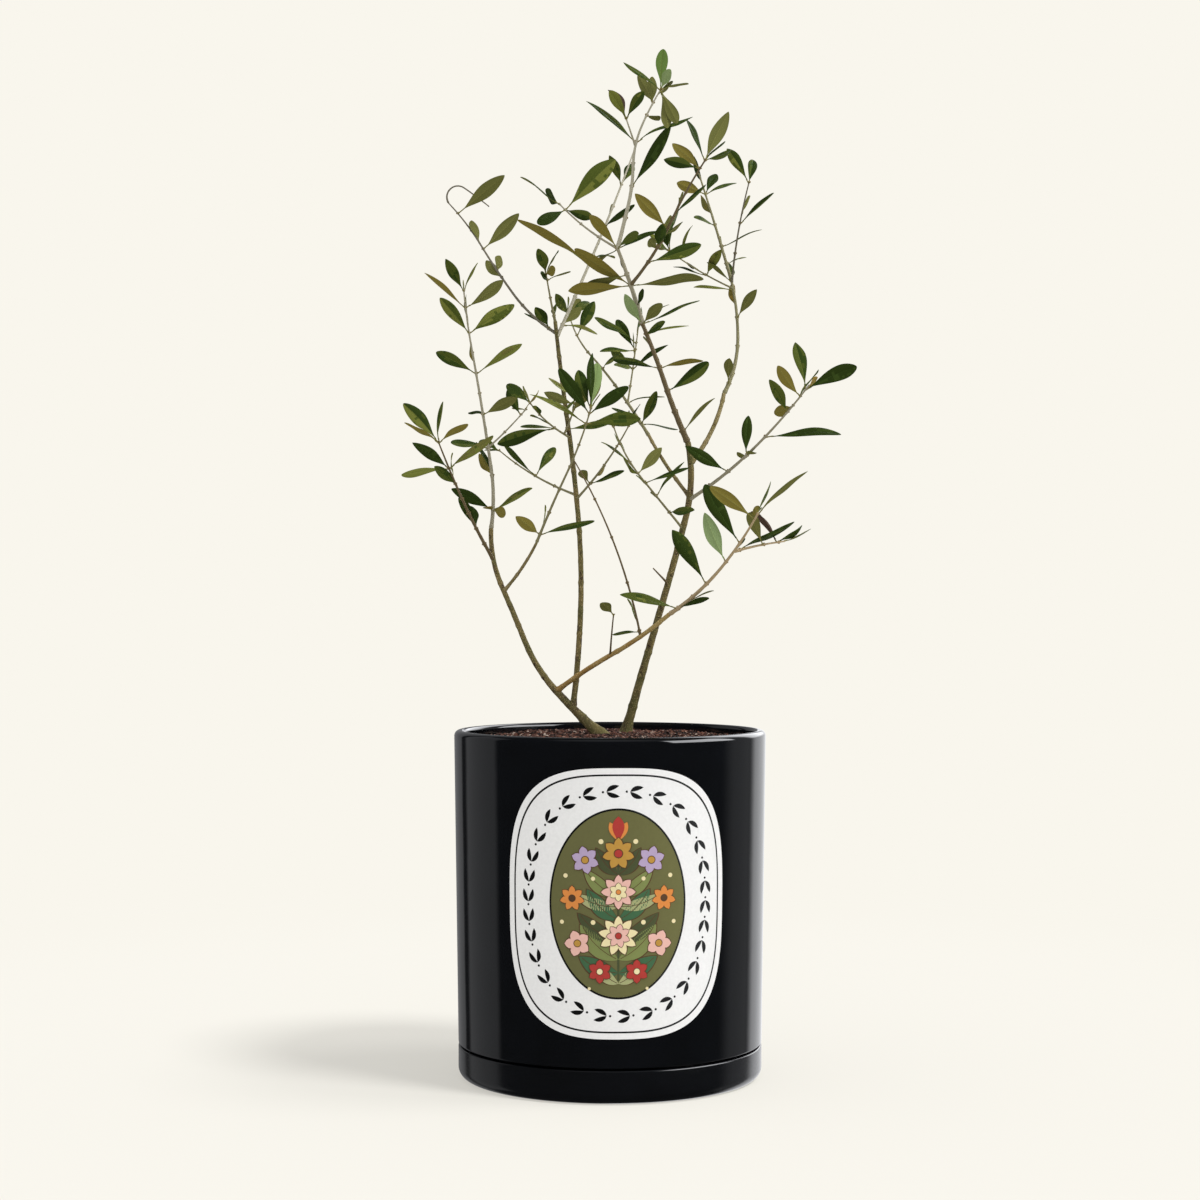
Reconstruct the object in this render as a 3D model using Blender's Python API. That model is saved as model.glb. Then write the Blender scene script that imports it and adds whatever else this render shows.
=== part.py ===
"""Potted olive tree: a young two-stemmed olive in a glazed pot that stands in its saucer.

Sizes are in millimetres and become metres as each mesh is made.  The origin is the
centre of the saucer's flat underside, +Z is up and the plant's front faces -Y.
"""

import math
import random
import re

import bmesh
import bpy
from mathutils import Vector
from mathutils.bvhtree import BVHTree

MM = 0.001
GAP = 0.3                 # clearance between pieces that rest on or meet each other

# Saucer and pot, both turned round the same upright axis
SAUCER_RADIUS = 121.5
SAUCER_HEIGHT = 26.0
SAUCER_FLOOR = 8.0
SAUCER_FOOT_RADIUS = 113.0
SAUCER_WALL = 9.5
SAUCER_LIP = 1.0          # radius of the saucer's outer edge
POT_RIM_RADIUS = 125.0
POT_RIM_HEIGHT = 277.0
POT_WALL = 8.0
POT_FLOOR = 12.0
POT_LIP = 3.0             # radius of the lip's inner rounding
POT_EDGE = 4.5            # and of its outer rounding
JOINT_LINE = 1.5          # shadow line between saucer and pot
POT_FOOT_RADIUS = 110.0   # the part of the pot that sinks into the saucer
POT_FLOOR_RADIUS = 100.0  # flat floor inside the pot
POT_CORNER_RISE = 20.0    # how far above the saucer the wall reaches its even thickness
SHOULDER_ROUND = 1.5      # radius of the edge where the side turns in to the foot
DRAIN_RADIUS = 9.0
TURNING_STEPS = 36

# Soil
SOIL_EDGE_HEIGHT = 268.5
SOIL_DOME = 5.0
SOIL_RIPPLE = 0.6
SOIL_WAVE_X = 9.0         # a ripple's length for each radian, across and from front to back
SOIL_WAVE_Y = 11.0
SOIL_RINGS = 5
SOIL_SECTORS = 30

# Stems
STEP = 2.0                # spacing of the points on a stem's centre line
HEADING_REACH = 1.5       # points ahead and behind that a stem's direction is read over
LIMB_SIDES = 7
LIMB_RING_SPACING = 14.0
TWIG_SIDES = 3
TWIG_RING_SPACING = 16.0
THICK_TWIG = 2.0          # twigs over this diameter get more sides
THICK_TWIG_SIDES = 5
ROOT_FLARE = 0.55         # extra radius at the very foot, as a share
ROOT_FLARE_FADE = 7.0     # distance over which the flare dies away
FLARE_RINGS = (1.0, 1.5)  # where a flared foot has rings of its own, in fade distances
FOOT_PROBE = 5.0          # the soil is felt this far round a trunk's foot, from high above
PROBE_HEIGHT = 500.0
AROUND_FOOT = ((0, 0), (1, 0), (-1, 0), (0, 1), (0, -1))

# Leaves
LEAF_THICKNESS = 0.9
LEAF_ROOT_HALF = 0.55     # half width of the stalk where it sinks into its twig
LEAF_SECTIONS = ((0.45, 0.80), (0.72, 1.0))     # share of length, share of full width
LEAF_WIDTH_SHARE = 0.21   # width for each millimetre of length, over LEAF_WIDTH_EXTRA
LEAF_WIDTH_EXTRA = 2.3
NARROW_LEAF = 30.0        # leaves shorter than this are as wide as one of this length
TYPICAL_LEAF = 36.0
LEAF_CLEARANCE = 0.35
STEEPEST_LEAF = 62.0      # degrees that a side leaf may swing to the front or back
EDGE_ON = 63.0            # degrees that a leaf is rolled when it shows its edge
LAST_NODE = 0.99          # the last leaves sit just short of the twig's end
SPREAD_CHANGES = (-5.0, 5.0)
WIDTH_CHANGES = (0.9, 1.1)
EXTRA_SWINGS = (5.0, 22.0)
ROLL_CHANGES = (-12.0, 12.0)
LEAF_BENDS = (5.0, 24.0)
BACK_LEAF_CHANCE = 0.6
BACK_LEAF_PLACE = 9.0     # millimetres up the twig from a side pair
BACK_LEAF_LENGTHS = (24.0, 40.0)
BACK_LEAF_RISES = (28.0, 52.0)
BACK_LEAF_SWAYS = (-12.0, 12.0)
BACK_LEAF_ROLLS = (66.0, 90.0)
BACK_LEAF_BENDS = (4.0, 14.0)
BACK_LEAF_NUDGE = 3.0     # a back leaf is turned this many times as far as a side leaf
NODE_TOKEN = re.compile(r"([LRlr])(\d+):(\d+)(u?)")

# A leaf that would touch something is turned by these degrees, or swung to the other side
NUDGES = ((0, 1), (0, -1), (9, 1), (-9, 1), (9, -1), (-9, -1), (18, 1), (-18, -1))

# Finishes as name, base colour and roughness
BLACK_GLAZE = ("black_glaze", (0.012, 0.013, 0.015), 0.12)
DARK_SOIL = ("dark_soil", (0.035, 0.022, 0.017), 0.95)
OLIVE_BARK = ("olive_bark", (0.23, 0.19, 0.12), 0.75)
OLIVE_FOLIAGE = ("olive_foliage", (0.07, 0.12, 0.045), 0.55)

# Edges flatter than these many degrees are shaded smooth
TURNED_SMOOTH = 50.0
SOIL_SMOOTH = 60.0
BARK_SMOOTH = 70.0
GROWTH_SMOOTH = 40.0

FRONT = Vector((0.0, -1.0, 0.0))
UP = Vector((0.0, 0.0, 1.0))


def remove_everything():
    for thing in list(bpy.data.objects):
        bpy.data.objects.remove(thing, do_unlink=True)


def principled(name, colour, roughness):
    finish = bpy.data.materials.new(name)
    finish.use_nodes = True
    shader = finish.node_tree.nodes["Principled BSDF"]
    shader.inputs["Base Color"].default_value = (*colour, 1.0)
    shader.inputs["Roughness"].default_value = roughness
    shader.inputs["Metallic"].default_value = 0.0
    return finish


def add_object(name, vertices, faces, finish, smooth_angle=GROWTH_SMOOTH):
    """One named object from points in millimetres."""
    mesh = bpy.data.meshes.new(name)
    mesh.from_pydata([Vector(point) * MM for point in vertices], [], faces)
    tidy_faces(mesh)
    mesh.materials.append(finish)
    mesh.shade_smooth()
    mesh.set_sharp_from_angle(angle=math.radians(smooth_angle))
    thing = bpy.data.objects.new(name, mesh)
    bpy.context.scene.collection.objects.link(thing)
    return thing


def tidy_faces(mesh):
    """Split every face into triangles and turn them all outwards."""
    work = bmesh.new()
    work.from_mesh(mesh)
    bmesh.ops.triangulate(work, faces=work.faces)
    bmesh.ops.recalc_face_normals(work, faces=work.faces)
    work.to_mesh(mesh)
    work.free()


# ---------------------------------------------------------------- pot, saucer and soil

def quarter_turn(centre_r, centre_z, radius, first_degrees, points=4):
    """Points of a quarter circle on a profile, anticlockwise from the first angle."""
    angles = [math.radians(first_degrees + 90.0 * step / (points - 1)) for step in range(points)]
    return [(centre_r + radius * math.cos(a), centre_z + radius * math.sin(a)) for a in angles]


def turned(name, profile, finish):
    """A body turned round the Z axis from a closed profile, or from one that ends on the axis."""
    vertices = []
    rings = []
    for radius, height in profile:
        if radius == 0.0:
            rings.append([len(vertices)] * TURNING_STEPS)
            vertices.append((0.0, 0.0, height))
            continue
        rings.append(list(range(len(vertices), len(vertices) + TURNING_STEPS)))
        for step in range(TURNING_STEPS):
            angle = math.tau * step / TURNING_STEPS
            vertices.append((radius * math.cos(angle), radius * math.sin(angle), height))
    closed = profile[0][0] > 0.0
    bands = list(zip(rings, rings[1:] + rings[:1])) if closed else list(zip(rings, rings[1:]))
    faces = []
    for lower, upper in bands:
        for step in range(TURNING_STEPS):
            after = (step + 1) % TURNING_STEPS
            corners = (lower[step], lower[after], upper[after], upper[step])
            faces.append(tuple(dict.fromkeys(corners)))
    return add_object(name, vertices, faces, finish, smooth_angle=TURNED_SMOOTH)


def make_saucer(finish):
    foot_round = SAUCER_RADIUS - SAUCER_FOOT_RADIUS
    profile = [(0.0, 0.0)]
    profile += quarter_turn(SAUCER_FOOT_RADIUS, foot_round, foot_round, -90.0)
    profile += quarter_turn(SAUCER_RADIUS - SAUCER_LIP, SAUCER_HEIGHT - SAUCER_LIP, SAUCER_LIP,
                            0.0, points=3)
    profile += [(SAUCER_RADIUS - SAUCER_WALL, SAUCER_HEIGHT)]
    profile += [(SAUCER_RADIUS - SAUCER_WALL, SAUCER_FLOOR), (0.0, SAUCER_FLOOR)]
    return turned("saucer", profile, finish)


def pot_radius(height):
    """Outer radius of the pot's gently flaring side."""
    shoulder = SAUCER_HEIGHT + JOINT_LINE
    share = (height - shoulder) / (POT_RIM_HEIGHT - shoulder)
    return SAUCER_RADIUS + (POT_RIM_RADIUS - SAUCER_RADIUS) * share


def pot_inside():
    """Inner profile of the pot from its floor to just under the lip."""
    floor = SAUCER_FLOOR + GAP + POT_FLOOR
    lip_height = POT_RIM_HEIGHT - POT_LIP
    corner_height = SAUCER_HEIGHT + POT_CORNER_RISE
    return [
        (POT_FLOOR_RADIUS, floor),
        (pot_radius(corner_height) - POT_WALL, corner_height),
        (pot_radius(lip_height) - POT_WALL, lip_height),
    ]


def make_pot(finish):
    bottom = SAUCER_FLOOR + GAP
    shoulder = SAUCER_HEIGHT + JOINT_LINE
    inside = pot_inside()
    profile = [(DRAIN_RADIUS, bottom), (POT_FOOT_RADIUS, bottom), (POT_FOOT_RADIUS, shoulder)]
    profile += quarter_turn(SAUCER_RADIUS - SHOULDER_ROUND, shoulder + SHOULDER_ROUND,
                            SHOULDER_ROUND, -90.0, points=3)
    lip_height = POT_RIM_HEIGHT - POT_LIP
    edge_height = POT_RIM_HEIGHT - POT_EDGE
    profile += quarter_turn(pot_radius(edge_height) - POT_EDGE, edge_height, POT_EDGE, 0.0)
    profile += quarter_turn(inside[-1][0] + POT_LIP, lip_height, POT_LIP, 90.0)
    profile += [inside[1], inside[0], (DRAIN_RADIUS, inside[0][1])]
    return turned("pot", profile, finish)


def soil_height(x, y, edge_radius):
    """The soil is heaped a little round the stems and rippled."""
    share = min(1.0, math.hypot(x, y) / edge_radius)
    ripple = math.sin(x / SOIL_WAVE_X) * math.cos(y / SOIL_WAVE_Y)
    return SOIL_EDGE_HEIGHT + SOIL_DOME * (1.0 - share * share) + SOIL_RIPPLE * ripple


def make_soil(finish):
    inside = pot_inside()
    floor_radius, corner_radius, top_radius = (radius - GAP * 2.0 for radius, _ in inside)
    vertices = [(0.0, 0.0, soil_height(0.0, 0.0, top_radius))]
    rings = [[0] * SOIL_SECTORS]

    def add_ring(radius, height=None):
        ring = []
        for step in range(SOIL_SECTORS):
            angle = math.tau * step / SOIL_SECTORS
            x = radius * math.cos(angle)
            y = radius * math.sin(angle)
            ring.append(len(vertices))
            vertices.append((x, y, soil_height(x, y, top_radius) if height is None else height))
        rings.append(ring)

    for ring in range(1, SOIL_RINGS + 1):
        add_ring(top_radius * ring / SOIL_RINGS)
    add_ring(corner_radius, inside[1][1])
    add_ring(floor_radius, inside[0][1] + GAP)
    rings.append([len(vertices)] * SOIL_SECTORS)
    vertices.append((0.0, 0.0, inside[0][1] + GAP))
    faces = []
    for outer, inner in zip(rings[1:], rings):
        for step in range(SOIL_SECTORS):
            after = (step + 1) % SOIL_SECTORS
            corners = (inner[step], outer[step], outer[after], inner[after])
            faces.append(tuple(dict.fromkeys(corners)))
    triangles = [(f[0], f[i], f[i + 1]) for f in faces for i in range(1, len(f) - 1)]
    add_object("soil", vertices, triangles, finish, smooth_angle=SOIL_SMOOTH)
    return solid_tree(vertices, triangles)


# ---------------------------------------------------------------- stems

def solid_tree(vertices, faces):
    return BVHTree.FromPolygons([Vector(v) for v in vertices], faces)


def read_along(values, share):
    """Value at a share of the way along evenly spaced values."""
    if len(values) == 1:
        return values[0]
    place = share * (len(values) - 1)
    before = min(int(place), len(values) - 2)
    part = place - before
    return values[before] * (1.0 - part) + values[before + 1] * part


class Stem:
    """A tapering stem: its centre line, its diameters and the tube made from them.

    lean is in degrees off the upright, towards +X, and toward is in degrees towards the
    front.  Both are read at even steps from the foot to the tip.
    """

    def __init__(self, start, length, lean, toward, thick, flare=0.0):
        self.length = length
        self.thick = thick
        self.flare = flare
        steps = max(3, round(length / STEP))
        point = Vector(start)
        self.line = [point.copy()]
        for step in range(steps):
            share = (step + 0.5) / steps
            side = math.radians(read_along(lean, share))
            fore = math.radians(read_along(toward, share))
            heading = Vector((math.sin(side) * math.cos(fore), -math.sin(fore),
                              math.cos(side) * math.cos(fore)))
            point = point + heading * (length / steps)
            self.line.append(point.copy())

    def point(self, share):
        return read_along(self.line, share)

    def heading(self, share):
        reach = HEADING_REACH / (len(self.line) - 1)
        ahead = self.point(min(1.0, share + reach))
        behind = self.point(max(0.0, share - reach))
        return (ahead - behind).normalized()

    def radius(self, share):
        slim = read_along(self.thick, share) / 2.0
        return slim * (1.0 + self.flare * math.exp(-share * self.length / ROOT_FLARE_FADE))

    def first_share_past(self, seat_point, seat_normal):
        """Share of the length at which the centre line has come through its seat's plane."""
        last = len(self.line) - 1
        for index in range(last):
            here = (self.line[index] - seat_point).dot(seat_normal)
            there = (self.line[index + 1] - seat_point).dot(seat_normal)
            if there > 0.0:
                return (index + max(0.0, -here / (there - here))) / last
        return 0.0

    def tube(self, sides, spacing, seat=None):
        """Closed tube round the centre line, its foot cut to the seat's plane if it has one."""
        first = self.first_share_past(*seat) if seat else 0.0
        count = max(2, math.ceil(self.length * (1.0 - first) / spacing) + 1)
        shares = [first + (1.0 - first) * step / (count - 1) for step in range(count)]
        if self.flare:
            shares[1:1] = [first + ROOT_FLARE_FADE * place / self.length for place in FLARE_RINGS]
        vertices = []
        for share in shares:
            centre = self.point(share)
            heading = self.heading(share)
            right = heading.cross(FRONT).normalized()
            fore = right.cross(heading)
            for step in range(sides):
                angle = math.tau * (step + 0.5) / sides
                rim = centre + (right * math.cos(angle) + fore * math.sin(angle)) * self.radius(share)
                if seat and share == first:
                    rim += heading * ((seat[0] - rim).dot(seat[1]) / heading.dot(seat[1]))
                vertices.append(rim)
        faces = [tuple(range(sides - 1, -1, -1))]
        for ring in range(len(shares) - 1):
            low = ring * sides
            for step in range(sides):
                after = (step + 1) % sides
                faces.append((low + step, low + after, low + sides + after, low + sides + step))
        top = (len(shares) - 1) * sides
        faces.append(tuple(range(top, top + sides)))
        return vertices, faces


def seat_on(parent, at, child_heading):
    """The plane that a new limb's foot is cut to: off its parent's end, or off its side."""
    if at == 1.0:
        normal = parent.heading(1.0)
        return parent.point(1.0) + normal * GAP, normal
    along = parent.heading(at)
    normal = (child_heading - along * child_heading.dot(along)).normalized()
    return parent.point(at) + normal * (parent.radius(at) + GAP), normal


# ---------------------------------------------------------------- the plant

class Plant:
    """Everything that has grown so far, for new growth to keep clear of."""

    def __init__(self, bark, foliage, soil_tree):
        self.bark = bark
        self.foliage = foliage
        self.soil_tree = soil_tree
        self.stems = {}
        self.solids = {"soil": soil_tree}

    def ground(self, x, y):
        """Height of a flat cut that stands just clear of the soil round one place."""
        heights = []
        for step_x, step_y in AROUND_FOOT:
            above = Vector((x + step_x * FOOT_PROBE, y + step_y * FOOT_PROBE, PROBE_HEIGHT))
            heights.append(self.soil_tree.ray_cast(above, -UP)[0].z)
        return max(heights) + GAP

    def trunk(self, name, foot, length, lean, toward, thick):
        height = self.ground(*foot)
        stem = Stem((*foot, height), length, lean, toward, thick, flare=ROOT_FLARE)
        self.add_limb(name, stem, (Vector((*foot, height)), UP))

    def bough(self, name, parent, at, length, lean, toward, thick):
        carrier = self.stems[parent]
        stem = Stem(carrier.point(at), length, lean, toward, thick)
        self.add_limb(name, stem, seat_on(carrier, at, stem.heading(0.0)))

    def add_limb(self, name, stem, seat):
        vertices, faces = stem.tube(LIMB_SIDES, LIMB_RING_SPACING, seat)
        add_object(name, vertices, faces, self.bark, smooth_angle=BARK_SMOOTH)
        self.stems[name] = stem
        self.solids[name] = solid_tree(vertices, faces)


class Mass:
    """One mass of foliage: twigs and leaves that branch from a single stem."""

    def __init__(self, plant, name):
        self.plant = plant
        self.name = name
        self.pieces = []
        self.blades = []
        self.neighbours = dict(plant.solids)
        self.chance = random.Random(name)
        self.back_chance = random.Random(f"{name} back")

    def shoot(self, name, parent, at, length, lean, toward, thick, leaves=""):
        """A twig with its leaves.

        leaves lists the nodes along the twig, parted by a stroke: the distance up the twig,
        then the leaves that the node still has.  Each leaf gives its side, the length that
        shows from the front and, after the colon, the degrees that it stands off the twig.
        A capital shows the leaf's face, a small letter its edge, and u its underside.
        """
        carrier = self.plant.stems[parent]
        stem = Stem(carrier.point(at), length, lean, toward, thick)
        seat = None if self.pieces else seat_on(carrier, at, stem.heading(0.0))
        sides = THICK_TWIG_SIDES if thick[0] > THICK_TWIG else TWIG_SIDES
        self.pieces.append(stem.tube(sides, TWIG_RING_SPACING, seat))
        self.plant.stems[name] = stem
        for node in filter(None, leaves.split("/")):
            place = float(node.split()[0])
            tokens = NODE_TOKEN.findall(node)
            for side, shown, spread, under in tokens:
                self.add_side_leaf(stem, min(LAST_NODE, place / length), side, float(shown),
                                   float(spread), bool(under))
            if tokens and self.back_chance.random() < BACK_LEAF_CHANCE:
                self.add_back_leaf(stem, min(LAST_NODE, (place + BACK_LEAF_PLACE) / length))

    def add_side_leaf(self, stem, share, side, shown, spread, under):
        """A leaf to the left or right of its twig, swung a little to the front or back.

        Its tip bends away from its face, so it sets out half its bend the other way.
        """
        chance = self.chance
        spread += chance.uniform(*SPREAD_CHANGES)
        width = leaf_width(shown) * chance.uniform(*WIDTH_CHANGES)
        swing = math.degrees(math.acos(min(1.0, 2.0 * shown / (shown + TYPICAL_LEAF))))
        swing = min(STEEPEST_LEAF, swing + chance.uniform(*EXTRA_SWINGS))
        swing *= chance.choice((-1.0, 1.0))
        roll = chance.uniform(*ROLL_CHANGES) + (0.0 if side.isupper() else EDGE_ON)
        bend = chance.uniform(*LEAF_BENDS)
        lead = bend / 2.0 * math.cos(math.radians(roll)) * (-1.0 if under else 1.0)
        spread -= bend / 2.0 * abs(math.sin(math.radians(roll)))
        sign = -1.0 if side in "Ll" else 1.0
        along = stem.heading(share)
        for nudge, swap in NUDGES:
            level = turned_aside(along, math.radians((spread + nudge) * sign))
            tilt = math.radians(swing * swap)
            start = tilt + math.radians(lead)
            heading = level * math.cos(start) + FRONT * math.sin(start)
            face = (FRONT - heading * FRONT.dot(heading)).normalized()
            if under:
                face = -face
            leaf = Leaf(stem.point(share), along, heading, face, shown / math.cos(tilt),
                        width, roll, bend)
            if self.take_if_clear(leaf):
                return

    def add_back_leaf(self, stem, share):
        """Olive pairs cross, so between two side pairs a leaf points to the back."""
        chance = self.back_chance
        length = chance.uniform(*BACK_LEAF_LENGTHS)
        width = leaf_width(length) * chance.uniform(*WIDTH_CHANGES)
        lift = math.radians(chance.uniform(*BACK_LEAF_RISES))
        sway = chance.uniform(*BACK_LEAF_SWAYS)
        roll = chance.uniform(*BACK_LEAF_ROLLS) * chance.choice((-1.0, 1.0))
        bend = chance.uniform(*BACK_LEAF_BENDS)
        along = stem.heading(share)
        for nudge, swap in NUDGES:
            turn = math.radians((sway + BACK_LEAF_NUDGE * nudge) * swap)
            level = turned_aside(along, turn)
            heading = level * math.sin(lift) - FRONT * math.cos(lift)
            face = (along - heading * along.dot(heading)).normalized()
            leaf = Leaf(stem.point(share), along, heading, face, length, width, roll, bend)
            if self.take_if_clear(leaf):
                return

    def take_if_clear(self, leaf):
        """Keep a leaf that touches nothing; otherwise the caller turns it or leaves it off."""
        if not self.is_clear(leaf):
            return False
        self.pieces.append((leaf.vertices, leaf.faces))
        self.blades.append(solid_tree(leaf.vertices[4:], leaf.blade_faces))
        return True

    def is_clear(self, leaf):
        """True if the leaf keeps off every other piece and its blade off its own mass."""
        whole = solid_tree(leaf.vertices, leaf.faces)
        for solid in self.neighbours.values():
            if whole.overlap(solid):
                return False
            if any(solid.find_nearest(v, LEAF_CLEARANCE)[0] for v in leaf.vertices):
                return False
        blade = solid_tree(leaf.vertices[4:], leaf.blade_faces)
        return not any(blade.overlap(other) for other in self.blades)

    def join(self):
        """Fuse the twigs and leaves into one closed body."""
        things = [add_object(f"{self.name}_{number}", *piece, self.plant.foliage)
                  for number, piece in enumerate(self.pieces)]
        body = things[0]
        body.name = self.name
        body.data.name = self.name
        if len(things) > 1:
            others = bpy.data.collections.new(f"{self.name}_growth")
            for thing in things[1:]:
                others.objects.link(thing)
            union = body.modifiers.new("union", "BOOLEAN")
            union.operation = "UNION"
            union.operand_type = "COLLECTION"
            union.collection = others
            union.solver = "EXACT"
            scene_state = bpy.context.evaluated_depsgraph_get()
            fused = bpy.data.meshes.new_from_object(body.evaluated_get(scene_state))
            body.modifiers.clear()
            body.data = fused
            for thing in things[1:]:
                bpy.data.objects.remove(thing, do_unlink=True)
            bpy.data.collections.remove(others)
        keep_one_body(body.data)
        self.plant.solids[self.name] = solid_tree(
            [v.co / MM for v in body.data.vertices], [tuple(p.vertices) for p in body.data.polygons])


def keep_one_body(mesh):
    """Drop any scrap that the union left loose from the main body, and sealed hollows."""
    work = bmesh.new()
    work.from_mesh(mesh)
    unseen = set(work.verts)
    bodies = []
    while unseen:
        reached = {unseen.pop()}
        growing = list(reached)
        while growing:
            here = growing.pop()
            for edge in here.link_edges:
                other = edge.other_vert(here)
                if other not in reached:
                    reached.add(other)
                    growing.append(other)
        unseen -= reached
        bodies.append(reached)
    bodies.sort(key=len, reverse=True)
    for scrap in bodies[1:]:
        bmesh.ops.delete(work, geom=list(scrap), context="VERTS")
    work.to_mesh(mesh)
    work.free()


def leaf_width(length):
    return LEAF_WIDTH_SHARE * max(length, NARROW_LEAF) + LEAF_WIDTH_EXTRA


def turned_aside(along, angle):
    """The twig's direction laid in the upright plane across the front and turned in it."""
    flat = Vector((along.x, 0.0, along.z)).normalized()
    return Vector((flat.x * math.cos(angle) + flat.z * math.sin(angle), 0.0,
                   flat.z * math.cos(angle) - flat.x * math.sin(angle)))


class Leaf:
    """A blade of two tapering bands from a stalk sunk in its twig to a pointed tip."""

    def __init__(self, root, along, heading, face, length, width, roll, bend):
        across = heading.cross(face)
        rolled = math.radians(roll)
        if (across * math.sin(rolled)).dot(along) < 0.0:
            rolled = -rolled
        face = face * math.cos(rolled) + across * math.sin(rolled)
        across = heading.cross(face)
        curve = math.radians(bend)
        self.vertices = []
        sections = ((0.0, 0.0),) + LEAF_SECTIONS
        for part, fullness in sections:
            centre = root + self.arc_offset(heading, face, curve, length, part)
            normal = face * math.cos(curve * part) + heading * math.sin(curve * part)
            half_width = max(LEAF_ROOT_HALF, width / 2.0 * fullness)
            half_thick = LEAF_THICKNESS / 2.0
            self.vertices += [centre + across * half_width, centre + normal * half_thick,
                              centre - across * half_width, centre - normal * half_thick]
        self.vertices.append(root + self.arc_offset(heading, face, curve, length, 1.0))
        tip = len(self.vertices) - 1
        bands = []
        for low in range(0, tip - 4, 4):
            for step in range(4):
                after = (step + 1) % 4
                bands.append((low + step, low + after, low + 4 + after, low + 4 + step))
        point = [(tip - 4 + step, tip - 4 + (step + 1) % 4, tip) for step in range(4)]
        self.faces = [(3, 2, 1, 0)] + bands + point
        self.blade_faces = [tuple(v - 4 for v in face) for face in bands[4:] + point]

    @staticmethod
    def arc_offset(heading, face, curve, length, part):
        """Where the midrib is after a part of its length, as it bends away from its face."""
        bent = curve * part
        return (heading * math.sin(bent) - face * (1.0 - math.cos(bent))) * (length / curve)


# ---------------------------------------------------------------- trunks and boughs

def grow_limbs(plant):
    plant.trunk("left_trunk", foot=(-9, 5), length=193,
                lean=(-48, -43, -22, -24, 2), toward=(-6,), thick=(7.7, 4.9, 4.3, 3.8))
    plant.trunk("right_trunk", foot=(13, 25), length=242,
                lean=(15, 16, 16, 14, -11), toward=(4, 5), thick=(7.4, 5.6, 5.2, 4.8))
    plant.bough("middle_stem", "left_trunk", at=0.15, length=314,
                lean=(7, 2, -5, -8, -6), toward=(-1,), thick=(4.8, 4.2, 3.9, 3.1))
    plant.bough("low_bough", "left_trunk", at=0.25, length=119,
                lean=(52, 60, 49), toward=(24, 22), thick=(4.1, 3.4))
    plant.bough("left_inner_bough", "left_trunk", at=0.73, length=62,
                lean=(43, 28), toward=(33, 47), thick=(2.8, 2.2))
    plant.bough("spire_bough", "right_trunk", at=0.93, length=76,
                lean=(39, 12), toward=(-22, -35), thick=(3.8, 3.3))
    plant.bough("crossing_bough", "right_trunk", at=0.82, length=69,
                lean=(-38, -26), toward=(-26, -31), thick=(3.1, 2.7))


# ---------------------------------------------------------------- masses of foliage

def grow_left_side(plant):
    mass = Mass(plant, "left_leader_foliage")
    mass.shoot("left_leader", "left_trunk", at=1.0, length=221, lean=(7, -9, -10, -11, -6), toward=(-20,),
               thick=(3.2, 1.6),
               leaves="17 R12:110u l6:70u r37:60 L38:65 / 47 L24:20u l33:20 / 72 l29:70"
                      " / 103 l14:60 R31:80u / 122 / 141 L37:50 r46:65 / 160 / 179 R46:65 L37:30"
                      " / 203 R40:55u l45:45u / 220 L28:25 r29:30")
    mass.shoot("leader_twig", "left_leader", at=0.33, length=45, lean=(48, 40), toward=(-6,),
               thick=(1.5, 1.4),
               leaves="18 / 38 L28:65 / 44 l10:105")
    mass.join()

    mass = Mass(plant, "left_outer_foliage")
    mass.shoot("left_outer", "left_trunk", at=0.87, length=142, lean=(-29, -22, -18), toward=(39, 54),
               thick=(3.0, 1.5),
               leaves="18 / 36 L28:5 R21:10 / 54 / 71 / 89 L20:30 / 108 l39:75 L33:40 r43:75"
                      " / 140 r27:80u L43:20 l33:40u r30:20")
    mass.join()

    mass = Mass(plant, "left_inner_foliage")
    mass.shoot("left_inner", "left_inner_bough", at=1.0, length=145, lean=(23, 27, 17), toward=(32, 50),
               thick=(2.2, 1.5),
               leaves="8 r45:55 L25:80u / 30 / 54 / 79 / 103 / 127 R42:65 l50:75 / 138 L41:50 R36:40"
                      " / 144 L32:10u L33:35 L36:5 l42:20")
    mass.join()


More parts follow.
